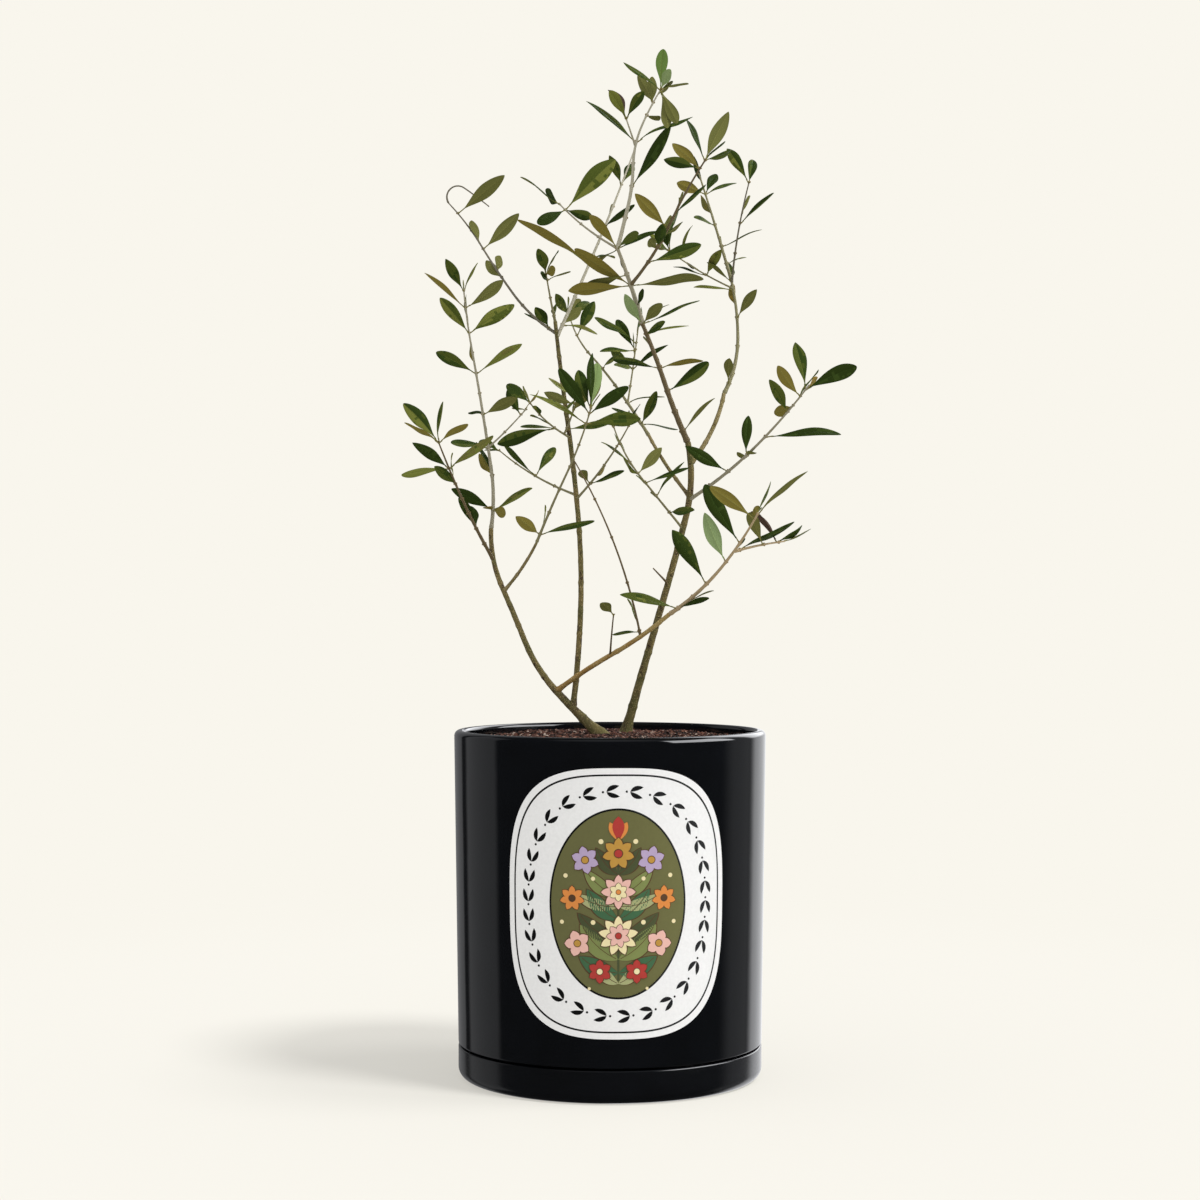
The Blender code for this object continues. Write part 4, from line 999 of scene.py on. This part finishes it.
class Leaf:
    """A leaf's place: its stalk's root, the arc of its midrib and the way its face looks."""

    def __init__(self, root, along, heading, face, length, width, roll, bend):
        across = heading.cross(face)
        rolled = math.radians(roll)
        if (across * math.sin(rolled)).dot(along) < 0.0:
            rolled = -rolled
        self.root = root
        self.heading = heading
        self.face = face * math.cos(rolled) + across * math.sin(rolled)
        self.across = heading.cross(self.face)
        self.length = length
        self.width = width
        self.curve = math.radians(bend)

    def midrib(self, part):
        """Where the midrib is after a part of its length, as it bends away from its face."""
        bent = self.curve * part
        return self.root + (self.heading * math.sin(bent)
                            - self.face * (1.0 - math.cos(bent))) * (self.length / self.curve)

    def frame_at(self, part, twist):
        """Directions across the blade and out of its face after a part of its length."""
        bent = self.curve * part
        normal = self.face * math.cos(bent) + self.heading * math.sin(bent)
        turn = twist * part
        return (self.across * math.cos(turn) + normal * math.sin(turn),
                normal * math.cos(turn) - self.across * math.sin(turn))

    def grow(self, leaves, tint, habit):
        """Add the leaf's mesh; habit is the chance that shapes this one leaf."""
        shades, lower, upper_rib, lower_rib = LEAF_FACES[tint]
        halves = [habit.uniform(0.0, len(shades)) for _ in range(2)]
        drift = habit.uniform(0.0, 1000.0)
        traits = [DRY_FOLD if tint == "x" and trait == "fold" else habit.uniform(*limits)
                  for trait, limits in LEAF_TRAITS.items()]
        twist, fold, curl, sweep, wave, ripple, phase, widest, base_taper, tip_taper = traits
        vertices = []
        for section in range(LEAF_SECTIONS + 1):
            share = 1.0 - (1.0 - section / LEAF_SECTIONS) ** SECTION_CROWDING
            part = STALK_SHARE + (1.0 - STALK_SHARE) * share
            across, normal = self.frame_at(part, twist)
            centre = self.midrib(part) + across * (sweep * self.length * math.sin(math.pi * part))
            centre += normal * (wave * self.length * math.sin(math.tau * part))
            if share < widest:
                fullness = math.sin(math.pi / 2.0 * share / widest) ** base_taper
            else:
                past = max(0.0, math.cos(math.pi / 2.0 * (share - widest) / (1.0 - widest)))
                fullness = past ** tip_taper
            half = max(self.width / 2.0 * fullness, STALK_RADII[1] * (1.0 - share) + BLADE_EDGE)
            rib = min(RIB_HALF_WIDTH * (1.0 - RIB_FADE * share), RIB_LIMIT * half) / half
            upper_row = []
            lower_row = []
            for column in LEAF_COLUMNS:
                side = math.copysign(rib, column) if abs(column) == 0.1 else column
                depth = RIB_GROOVE * max(0.0, 1.0 - abs(side) / (2.0 * rib))
                keel = RIB_KEEL * max(0.0, 1.0 - abs(side) / (2.0 * rib)) * (1.0 - share)
                rise = half * (fold * abs(side) - curl * side ** 4)
                rise += half * ripple * side * side * math.sin(RIPPLE_TURN * share + phase)
                skin = LEAF_THICKNESS * (1.0 - THINNING[0] * side * side)
                skin *= 1.0 - THINNING[1] * share
                place = centre + across * (half * side)
                upper_row.append(place + normal * (rise - depth))
                lower_row.append(place + normal * (rise - skin - keel))
            vertices += upper_row + lower_row[::-1]
        ring = 2 * len(LEAF_COLUMNS)
        middle = len(LEAF_COLUMNS) // 2
        band = [0] * (middle - 1) + [upper_rib] * 2 + [1] * middle
        band += [lower] * (middle - 1) + [lower_rib] * 2 + [lower] * (middle - 1) + [0]
        faces = [tuple(range(ring))] + ring_bands(0, LEAF_SECTIONS + 1, ring, True)
        names = [lower]
        for section in range(LEAF_SECTIONS):
            for step, skin in enumerate(band):
                if skin in (0, 1):
                    spot = Vector((section * self.length / LEAF_SECTIONS / MOTTLE_LENGTH,
                                   min(step, ring - step) * 0.7, drift))
                    level = halves[skin] + MOTTLE_DEPTH * noise.noise(spot)
                    skin = shades[max(0, min(len(shades) - 1, int(level)))]
                names.append(skin)
        faces.append(tuple(range(LEAF_SECTIONS * ring, (LEAF_SECTIONS + 1) * ring))[::-1])
        names.append(lower)
        leaves.add(vertices, faces, names)
        self.grow_stalk(leaves, twist)

    def grow_stalk(self, leaves, twist):
        """The stalk, from the twig's middle to just inside the blade."""
        vertices = []
        for ring in range(STALK_RINGS):
            share = ring / (STALK_RINGS - 1)
            part = (STALK_SHARE + STALK_REACH) * share
            across, normal = self.frame_at(part, twist)
            radius = read_along(STALK_RADII, share)
            for step in range(STALK_SIDES):
                angle = math.tau * step / STALK_SIDES
                vertices.append(self.midrib(part) + across * (radius * math.cos(angle))
                                + normal * (radius * math.sin(angle) - STALK_DROP))
        last = (STALK_RINGS - 1) * STALK_SIDES
        faces = [tuple(range(STALK_SIDES))] + ring_bands(0, STALK_RINGS, STALK_SIDES, True)
        faces.append(tuple(range(last, last + STALK_SIDES))[::-1])
        leaves.add(vertices, faces, "leaf_stalk")


class Spray:
    """One mass of foliage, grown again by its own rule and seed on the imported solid's place."""

    def __init__(self, region, name, bark):
        self.region = region
        self.bark = bark
        self.surface = solid_tree(name)
        self.chance = random.Random(name)
        self.back_chance = random.Random(f"{name} back")
        self.habit = random.Random(name + " habit")
        region.nodes.append(name)

    def shoot(self, name, parent, at, length, lean, toward, thick, leaves="", bark=None):
        """A twig with its leaves.

        leaves lists the nodes along the twig, parted by a stroke: the distance up the twig,
        then the leaves that the node still has.  Each leaf gives its side, the length that
        shows from the front and, after the colon, the degrees that it stands off the twig.
        A capital shows the leaf's face, a small letter its edge, and u its underside.  The
        last letter is its tint: dark, green, olive, bronze, pale, fresh, or x when it is dry.
        bark is given where it differs from the rest of the spray's.
        """
        carrier = stems[parent]
        stem = Stem(carrier.point(at), length, lean, toward, (*thick[:-1], TWIG_TIP * thick[-1]),
                    carrier_radius=min(TWIG_CARRIER, carrier.radius(at)))
        stems[name] = stem
        nodes = []
        for node in filter(None, leaves.split("/")):
            place = float(node.split()[0])
            share = min(LAST_NODE, place / length)
            nodes += [(place, 0.0), (place + BACK_LEAF_PLACE, math.pi / 2.0)]
            tokens = NODE_TOKEN.findall(node)
            for side, shown, spread, under, tint in tokens:
                self.add_side_leaf(stem, share, side, float(shown), float(spread), bool(under),
                                   tint)
            if tokens and self.back_chance.random() < BACK_LEAF_CHANCE:
                self.add_back_leaf(stem, min(LAST_NODE, (place + BACK_LEAF_PLACE) / length))
            self.add_buds(stem, share)
        skin = stem.skin(TWIG_SIDES, TWIG_RING_SPACING, nodes, young_bark_relief)
        self.region.twigs.add(*skin, bark or self.bark)

    def add_side_leaf(self, stem, share, side, shown, spread, under, tint):
        """A leaf to the left or right of its twig, swung a little to the front or back.

        Its tip bends away from its face, so it sets out half its bend the other way.
        """
        chance = self.chance
        spread += chance.uniform(*SPREAD_CHANGES)
        width = leaf_width(shown) * chance.uniform(*WIDTH_CHANGES)
        swing = math.degrees(math.acos(min(1.0, 2.0 * shown / (shown + TYPICAL_LEAF))))
        swing = min(STEEPEST_LEAF, swing + chance.uniform(*EXTRA_SWINGS))
        swing *= chance.choice((-1.0, 1.0))
        roll = chance.uniform(*ROLL_CHANGES) + (0.0 if side.isupper() else EDGE_ON)
        bend = chance.uniform(*LEAF_BENDS)
        lead = bend / 2.0 * math.cos(math.radians(roll)) * (-1.0 if under else 1.0)
        spread -= bend / 2.0 * abs(math.sin(math.radians(roll)))
        sign = -1.0 if side in "Ll" else 1.0
        poses = []
        for nudge, swap in NUDGES:
            level = turned_aside(stem.heading(share), math.radians((spread + nudge) * sign))
            tilt = math.radians(swing * swap)
            start = tilt + math.radians(lead)
            heading = level * math.cos(start) + FRONT * math.sin(start)
            face = (FRONT - heading * FRONT.dot(heading)).normalized()
            poses.append((heading, -face if under else face, shown / math.cos(tilt)))
        self.seat(stem, share, poses, width, roll, bend, tint)

    def add_back_leaf(self, stem, share):
        """Olive pairs cross, so between two side pairs a leaf points to the back."""
        chance = self.back_chance
        length = chance.uniform(*BACK_LEAF_LENGTHS)
        width = leaf_width(length) * chance.uniform(*WIDTH_CHANGES)
        lift = math.radians(chance.uniform(*BACK_LEAF_RISES))
        sway = chance.uniform(*BACK_LEAF_SWAYS)
        roll = chance.uniform(*BACK_LEAF_ROLLS) * chance.choice((-1.0, 1.0))
        bend = chance.uniform(*BACK_LEAF_BENDS)
        along = stem.heading(share)
        poses = []
        for nudge, swap in NUDGES:
            level = turned_aside(along, math.radians((sway + BACK_LEAF_NUDGE * nudge) * swap))
            heading = level * math.sin(lift) - FRONT * math.cos(lift)
            poses.append((heading, (along - heading * along.dot(heading)).normalized(), length))
        self.seat(stem, share, poses, width, roll, bend, self.habit.choice(BACK_TINTS))

    def seat(self, stem, share, poses, width, roll, bend, tint):
        """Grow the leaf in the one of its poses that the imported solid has, if it has one."""
        for heading, face, length in poses:
            leaf = Leaf(stem.point(share), stem.heading(share), heading, face, length, width,
                        roll, bend)
            if self.surface.find_nearest(leaf.midrib(1.0), TIP_REACH)[0]:
                leaf.grow(self.region.leaves, tint, self.habit)
                return

    def add_buds(self, stem, share):
        """A small bud on either side of the twig, in the angle over each leaf stalk."""
        along = stem.heading(share)
        right = along.cross(FRONT).normalized()
        for side in (-1.0, 1.0):
            size = self.habit.uniform(*BUD_SCALES)
            middle = stem.point(share) + right * (side * (stem.radius(share) + BUD_PLACE[0]))
            middle += along * BUD_PLACE[1]
            points = [middle + (right * point.x + FRONT * point.y) * (BUD_SIZE[0] * size)
                      + along * (point.z * BUD_SIZE[1] * size) for point in BALL_POINTS]
            self.region.twigs.add(points, BALL_FACES, "twig_bud")


class Region:
    """One side of the crown: its twigs are one mesh and its leaves another."""

    def __init__(self, name):
        self.nodes = []
        self.twigs = Joined(name + "_twigs", TWIG_SKINS)
        self.leaves = Joined(name + "_leaves", LEAF_SKINS)

    def finish(self):
        """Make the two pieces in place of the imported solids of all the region's masses."""
        for growth, slot in ((self.twigs, "olive_bark"), (self.leaves, "olive_foliage")):
            piece = growth.finish(smooth_angle=42.0)
            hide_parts(*self.nodes)


# each region's masses, with their usual bark; each mass's shoots, with what Spray.shoot takes
CROWN = {
    "left": (
        ("left_leader_foliage", "grey_twig",
         ("left_leader", "left_trunk", 1.0, 221, (7, -9, -10, -11, -6), (-20,), (3.2, 1.6),
          "17 R12:110ub l6:70ub r37:60o L38:65d / 47 L24:20ub l33:20d / 72 l29:70d"
          " / 103 l14:60d R31:80uo / 122 / 141 L37:50g r46:65o / 160 / 179 R46:65g L37:30g"
          " / 203 R40:55uo l45:45ub / 220 L28:25d r29:30o"),
         ("leader_twig", "left_leader", 0.33, 45, (48, 40), (-6,), (1.5, 1.4),
          "18 / 38 L28:65d / 44 l10:105o")),
        ("left_outer_foliage", "brown_twig",
         ("left_outer", "left_trunk", 0.87, 142, (-29, -22, -18), (39, 54), (3.0, 1.5),
          "18 / 36 L28:5d R21:10d / 54 / 71 / 89 L20:30d / 108 l39:75g L33:40d r43:75o"
          " / 140 r27:80ub L43:20g l33:40ub r30:20g")),
        ("left_inner_foliage", "olive_twig",
         ("left_inner", "left_inner_bough", 1.0, 145, (23, 27, 17), (32, 50), (2.2, 1.5),
          "8 r45:55g L25:80ub / 30 / 54 / 79 / 103 / 127 R42:65g l50:75g / 138 L41:50d R36:40d"
          " / 144 L32:10ud L33:35d L36:5p l42:20d")),
    ),
    "middle": (
        ("middle_left_foliage", "olive_twig",
         ("middle_left", "middle_stem", 0.55, 104, (-68, -48), (-40, -44), (2.0, 1.4),
          "25 / 50 r37:10g R30:90g / 77 / 103 l12:25g")),
        ("middle_right_foliage", "olive_twig",
         ("middle_right", "middle_stem", 0.54, 110, (45, 30), (46, 58), (2.0, 1.4),
          "23 L12:80uo r29:25d / 50 / 78 / 108 l14:25d")),
        ("heart_foliage", "olive_twig",
         ("heart", "middle_stem", 0.7, 59, (-66, -37), (47,), (1.8, 1.4),
          "19 L49:43d l27:35g / 41 r7:10g / 57 L27:5d"),
         ("heart_upright", "heart", 0.12, 36, (27, 14), (32,), (1.5, 1.4),
          "5 r36:55g / 23 R15:20uo / 29 L28:80uo / 35 l25:75o l12:155g")),
        ("bud_foliage", "olive_twig",
         ("bud", "middle_stem", 1.0, 53, (-13, -9), (50,), (2.0, 1.4),
          "6 r13:15g / 26 / 46 l6:35d r21:65d / 52 L17:10g R8:80ub")),
        ("arching_foliage", "olive_twig",
         ("arching", "middle_stem", 0.97, 194, (-55, -34, -30, -41), (-36, -35), (2.4, 1.5),
          "9 R18:20d / 47 / 86 L24:8uo / 125 R43:75uo / 150 / 176 R50:90uo", "dusk_twig"),
         ("arching_tip", "arching", 0.99, 53, (-36, 125, 129), (1,), (1.5, 1.4),
          "", "dusk_twig")),
        ("inner_spire_foliage", "pale_twig",
         ("inner_spire", "middle_stem", 0.96, 207, (23, 21, 18), (-22, -29), (2.9, 1.7),
          "12 R24:15uo r29:75o / 40 / 74 l67:85ub l68:75o / 83 r18:50d / 112 r29:30d / 135"
          " / 159 R25:5d L22:45g")),
    ),
    "right": (
        ("right_leader_foliage", "grey_twig",
         ("right_leader", "right_trunk", 1.0, 105, (-25, -19, -24), (13,), (4.7, 4.2),
          "10 r37:70uo / 27 / 45 R41:70d / 65 r36:95ub l38:55d / 94 r35:95g r15:80d"
          " / 103 r51:90d r29:65o R19:75uo L25:15up", "brown_twig"),
         ("right_leader_middle", "right_leader", 0.98, 65, (-16, -22), (13,), (4.0, 3.5),
          "15 r11:40d / 32 r59:100uo l50:80ub l54:35ub / 41 l37:90uo"
          " / 63 L33:25ub l16:80d r37:85d r17:80g"),
         ("right_leader_top", "right_leader_middle", 0.97, 131, (14, 14, 1, 24, 33), (7,),
          (3.3, 2.7, 1.8, 1.5),
          "24 / 49 r56:30d / 67 / 84 r51:50g l53:60d / 106 r10:50g / 117 L30:55uo L26:30uo"
          " / 129 L35:30f R33:120uo R34:142uo l37:80d r26:25o R13:5up", "pale_twig"),
         ("leader_twiglet", "right_leader_top", 0.62, 24, (-19,), (7,), (1.6, 1.4),
          "22 L20:20o R21:60g l30:12x"),
         ("side_leader", "right_leader_middle", 0.5, 137, (43, 27, 38), (33, 53), (2.7, 1.7),
          "25 R46:35g / 42 L11:65uo L14:25d / 47 l26:10uo / 61 L36:70ub / 71 r37:15d / 98"
          " / 126 L29:100d L31:80ub / 136 L45:10uo l36:55d", "brown_twig"),
         ("side_twig", "right_leader_middle", 0.97, 90, (-54, -38), (-43,), (2.0, 1.5),
          "26 / 52 / 79 R60:80g L27:80d R25:155d / 89 l41:15d")),
        ("spire_foliage", "grey_twig",
         ("spire", "spire_bough", 1.0, 110, (28, 1, -11), (-22,), (3.3, 2.8),
          "10 L18:25uo / 20 / 46 / 73 R26:35uo / 100 l34:80o / 108 l25:50uo", "olive_twig"),
         ("spire_side", "spire", 0.92, 63, (-67, -54), (8,), (1.5, 1.4),
          "25 R21:90o l29:10d / 52 r32:75g / 62 r29:55g R20:35d l19:5o", "olive_twig"),
         ("spire_top", "spire", 0.98, 107, (-14, -16), (-20,), (2.8, 1.9),
          "17 r20:70g / 34 r36:85d / 55 l19:60d / 86 R24:45d L26:65ub r31:75g", "olive_twig"),
         ("wand", "spire", 0.97, 87, (4, 14), (15, 32), (1.8, 1.4),
          "24 / 50 r37:35d / 86 L32:50g L24:5d", "dusk_twig")),
        ("right_outer_foliage", "grey_twig",
         ("right_outer", "right_trunk", 0.81, 160, (58, 45, 36), (31, 49), (3.0, 1.6),
          "22 / 44 L40:110d / 67 L33:40d l6:130uo r6:20uo / 92 r59:50d / 125 L28:75d"
          " / 133 L13:150ub / 145 L29:80ub / 154 R42:25d r38:30uo L38:45g")),
        ("crossing_foliage", "olive_twig",
         ("crossing", "crossing_bough", 1.0, 149, (-30, -33, -40, -12), (-30,), (2.8, 1.4),
          "14 r31:125d R27:60g l29:25d / 39 r32:105d / 60 / 81 r16:80g / 103 / 124 R35:50d"
          " / 147 R23:65g r19:40uo L18:20g"),
         ("crossing_twig", "crossing", 0.26, 76, (9, 7), (-28,), (1.5, 1.4),
          "16 / 34 L27:50g l15:85g r35:45d / 53 L32:40d l30:105g / 60 l42:60d")),
        ("thin_foliage", "olive_twig",
         ("thin", "right_trunk", 0.71, 140, (-41, -42, -20), (39, 55), (2.0, 1.4),
          "22 r18:120g / 45 r36:85d / 64 r36:115d / 77 R29:80uo / 92 l29:10g / 116 / 139 l14:25d")),
    ),
    "low": (
        ("low_foliage", "tan_twig",
         ("low", "low_bough", 1.0, 131, (56, 38, 26), (31, 47), (3.3, 2.0),
          "9 l47:130g r25:20d / 26 / 44 L50:80d / 72 L42:55up / 95 L53:60d / 124 L42:85ub"
          " / 129 l6:25ub r49:25uo"),
         ("low_side", "low", 0.65, 42, (74, 83), (-13, -15), (2.2, 1.5),
          "4 l49:15d / 24 L27:110uo / 36 l25:20g r7:10d l31:120x")),
        ("whip_twig", "brown_twig",
         ("whip", "low_bough", 0.74, 157, (-11, -21, -31), (15, 28), (1.8, 1.4),
          "4 l21:80d / 45 / 85 / 120")),
        ("spoon_spur", "brown_twig",
         ("spoon", "low_bough", 0.48, 47, (3, 6), (45,), (1.6, 1.4),
          "46 L14:55uo")),
        ("thorn_spur", "brown_twig",
         ("thorn", "right_trunk", 0.52, 31, (-46,), (56,), (2.0, 1.4))),
    ),
}

for side, masses in CROWN.items():
    region = Region(side)
    for node, bark, *shoots in masses:
        spray = Spray(region, node, bark)
        for shoot in shoots:
            spray.shoot(*shoot)
    region.finish()


# ---------------------------------------------------------------- studio
# A seamless cream sweep, a big soft box high on the right, and plain white and grey walls
# that only the glaze and the leaves' wax mirror.  The camera stands level, in front.

SWEEP_RADIUS = 9000.0
SWEEP_SIDES = 96
SWEEP_CREAM = "#f9f6ed"
LIT_FLOOR_RADIUS = (620.0, 1150.0)    # the floor turns into the evenly glowing sweep here
FLOOR_ALBEDO = 0.20
FLOOR_GLOW = 0.532        # even glow of the floor paper near the pot, lit by no lamp, added to the light that falls on it
# each soft box: azimuth from the front towards the right, height and spread in degrees, glow
KEY = (66.0, 57.0, 24.0, 1.78)
FLOOR_LIGHTS = ((57.0, 49.0, 16.0, 4.2), (90.0, 55.0, 20.0, 1.5))
FILL_STRENGTH = 0.90
FILL_WHITE = "#fbfcff"
CAMERA_PLACE = (-8.0, -1929.0, 381.0)
CAMERA_LENS = 72.0
# what the glaze mirrors: (from, to) azimuth, (from, to) height in degrees, soft edge, glow;
# each card rises from 0 to 1 over its soft edges
MIRRORED = (
    ((130.0, 200.0), (-40.0, 8.0), 12.0, 1.2),
    ((128.0, 168.0), (8.0, 48.0), 12.0, 3.6),
    ((96.0, 128.0), (-40.0, 50.0), 16.0, 0.20),
    ((46.0, 104.0), (9.0, 46.0), 5.0, 6.5),
    ((-200.0, -141.0), (-40.0, 50.0), 4.0, 0.22),
    ((-132.0, -92.0), (-40.0, 40.0), 6.0, 0.26),
    ((-60.0, 60.0), (50.0, 90.0), 20.0, 0.25),
)
DARK_ROOM = 0.03

sweep_points = [(0.0, 0.0, 0.0)]
sweep_points += [(SWEEP_RADIUS * math.cos(math.tau * step / SWEEP_SIDES),
                  SWEEP_RADIUS * math.sin(math.tau * step / SWEEP_SIDES), 0.0)
                 for step in range(SWEEP_SIDES)]
sweep_faces = [(0, 1 + step, 1 + (step + 1) % SWEEP_SIDES) for step in range(SWEEP_SIDES)]
sweep_mesh = bpy.data.meshes.new("studio_floor")
sweep_mesh.from_pydata([Vector(point) * MM for point in sweep_points], [], sweep_faces)
floor = bpy.data.objects.new("studio_floor", sweep_mesh)
bpy.context.scene.collection.objects.link(floor)
floor.visible_glossy = False

paper = bpy.data.materials.new("cream_sweep_paper")
paper.use_nodes = True
tree = paper.node_tree
tree.nodes.clear()
cream = linear(SWEEP_CREAM)
position = add_node(tree, "ShaderNodeTexCoord").outputs["Object"]
away = add_node(tree, "ShaderNodeVectorMath", {0: position}, operation="LENGTH").outputs["Value"]
far = add_node(tree, "ShaderNodeMapRange",
               {"Value": away, "From Min": LIT_FLOOR_RADIUS[0] * MM,
                "From Max": LIT_FLOOR_RADIUS[1] * MM}, interpolation_type="SMOOTHSTEP")
lit = add_node(tree, "ShaderNodeBsdfDiffuse",
               {"Color": tuple(c / max(cream[:3]) * FLOOR_ALBEDO for c in cream[:3]) + (1.0,)})
# The paper near the pot glows evenly as well as taking the lamps' light, which lifts it and the
# pot's shadow on it towards the sweep's cream; nothing lights it from under.
paper_glow = add_node(tree, "ShaderNodeEmission", {"Color": cream, "Strength": FLOOR_GLOW})
near = add_node(tree, "ShaderNodeAddShader", {0: lit.outputs[0], 1: paper_glow.outputs[0]})
glow = add_node(tree, "ShaderNodeEmission", {"Color": cream})
both = add_node(tree, "ShaderNodeMixShader", {0: far.outputs["Result"], 1: near.outputs[0],
                                              2: glow.outputs[0]})
add_node(tree, "ShaderNodeOutputMaterial", {"Surface": both.outputs[0]})
sweep_mesh.materials.append(paper)

room = bpy.data.worlds.new("studio")
bpy.context.scene.world = room
room.use_nodes = True
tree = room.node_tree
tree.nodes.clear()
ray = add_node(tree, "ShaderNodeTexCoord").outputs["Generated"]
parts = add_node(tree, "ShaderNodeSeparateXYZ", {"Vector": ray}).outputs
toward_front = add_node(tree, "ShaderNodeMath", {0: parts["Y"], 1: -1.0}, operation="MULTIPLY")
azimuth = add_node(tree, "ShaderNodeMath", {0: parts["X"], 1: toward_front.outputs[0]},
                   operation="ARCTAN2").outputs[0]
height = add_node(tree, "ShaderNodeMath", {0: parts["Z"]}, operation="ARCSINE").outputs[0]

mirrored = add_node(tree, "ShaderNodeValue").outputs[0]
mirrored.default_value = DARK_ROOM
for (left_edge, right_edge), (low_edge, high_edge), softness, glow_strength in MIRRORED:
    card = None
    for value, edge, side in ((azimuth, left_edge, 1.0), (azimuth, right_edge, -1.0),
                              (height, low_edge, 1.0), (height, high_edge, -1.0)):
        edge = math.radians(edge)
        fade = math.radians(softness / 2.0) * side
        inside = add_node(tree, "ShaderNodeMapRange",
                          {"Value": value, "From Min": edge - fade, "From Max": edge + fade},
                          interpolation_type="SMOOTHSTEP").outputs["Result"]
        card = inside if card is None else add_node(tree, "ShaderNodeMath", {0: card, 1: inside},
                                                    operation="MULTIPLY").outputs[0]
    mirrored = add_node(tree, "ShaderNodeMath", {0: card, 1: glow_strength, 2: mirrored},
                        operation="MULTIPLY_ADD").outputs[0]
path = add_node(tree, "ShaderNodeLightPath").outputs
strength = add_node(tree, "ShaderNodeMix", {"Factor": path["Is Glossy Ray"], "A": FILL_STRENGTH,
                                            "B": mirrored}, data_type="FLOAT").outputs["Result"]
soft_light = add_node(tree, "ShaderNodeBackground", {"Color": linear(FILL_WHITE),
                                                     "Strength": strength})
seen = add_node(tree, "ShaderNodeBackground", {"Color": cream})
sky = add_node(tree, "ShaderNodeMixShader", {0: path["Is Camera Ray"], 1: soft_light.outputs[0],
                                             2: seen.outputs[0]})
add_node(tree, "ShaderNodeOutputWorld", {"Surface": sky.outputs[0]})


def soft_box(name, azimuth, height, spread, strength):
    """A large soft light up on the right."""
    lamp = bpy.data.lights.new(name, "SUN")
    lamp.energy = strength
    lamp.angle = math.radians(spread)
    box = bpy.data.objects.new(name, lamp)
    bpy.context.scene.collection.objects.link(box)
    turn = math.radians(azimuth)
    rise = math.radians(height)
    direction = Vector((math.sin(turn) * math.cos(rise), -math.cos(turn) * math.cos(rise),
                        math.sin(rise)))
    box.rotation_euler = direction.to_track_quat("Z", "Y").to_euler()
    box.visible_glossy = False
    return box


def light_group(name, *pieces):
    """A group that says which pieces a light falls on or is shaded by."""
    group = bpy.data.collections.new(name)
    for piece in pieces:
        group.objects.link(piece)
    return group


key = soft_box("soft_box", *KEY)
key.light_linking.receiver_collection = light_group("left_out_of_soft_box", floor)
left_out = key.light_linking.receiver_collection.collection_objects[0]
left_out.light_linking.link_state = "EXCLUDE"
lit_by_floor_lights = light_group("lit_by_floor_lights", floor)
shades_floor_lights = light_group("shades_floor_lights", pot, saucer)
for number, settings in enumerate(FLOOR_LIGHTS):
    floor_light = soft_box(f"floor_light_{number}", *settings)
    floor_light.light_linking.receiver_collection = lit_by_floor_lights
    floor_light.light_linking.blocker_collection = shades_floor_lights

lens = bpy.data.cameras.new("camera")
lens.lens = CAMERA_LENS
lens.sensor_width = 36.0
lens.clip_end = 40.0
camera = bpy.data.objects.new("camera", lens)
camera.location = Vector(CAMERA_PLACE) * MM
camera.rotation_euler = (math.radians(90.0), 0.0, 0.0)
bpy.context.scene.collection.objects.link(camera)
bpy.context.scene.camera = camera
bpy.context.scene.view_settings.view_transform = "Standard"
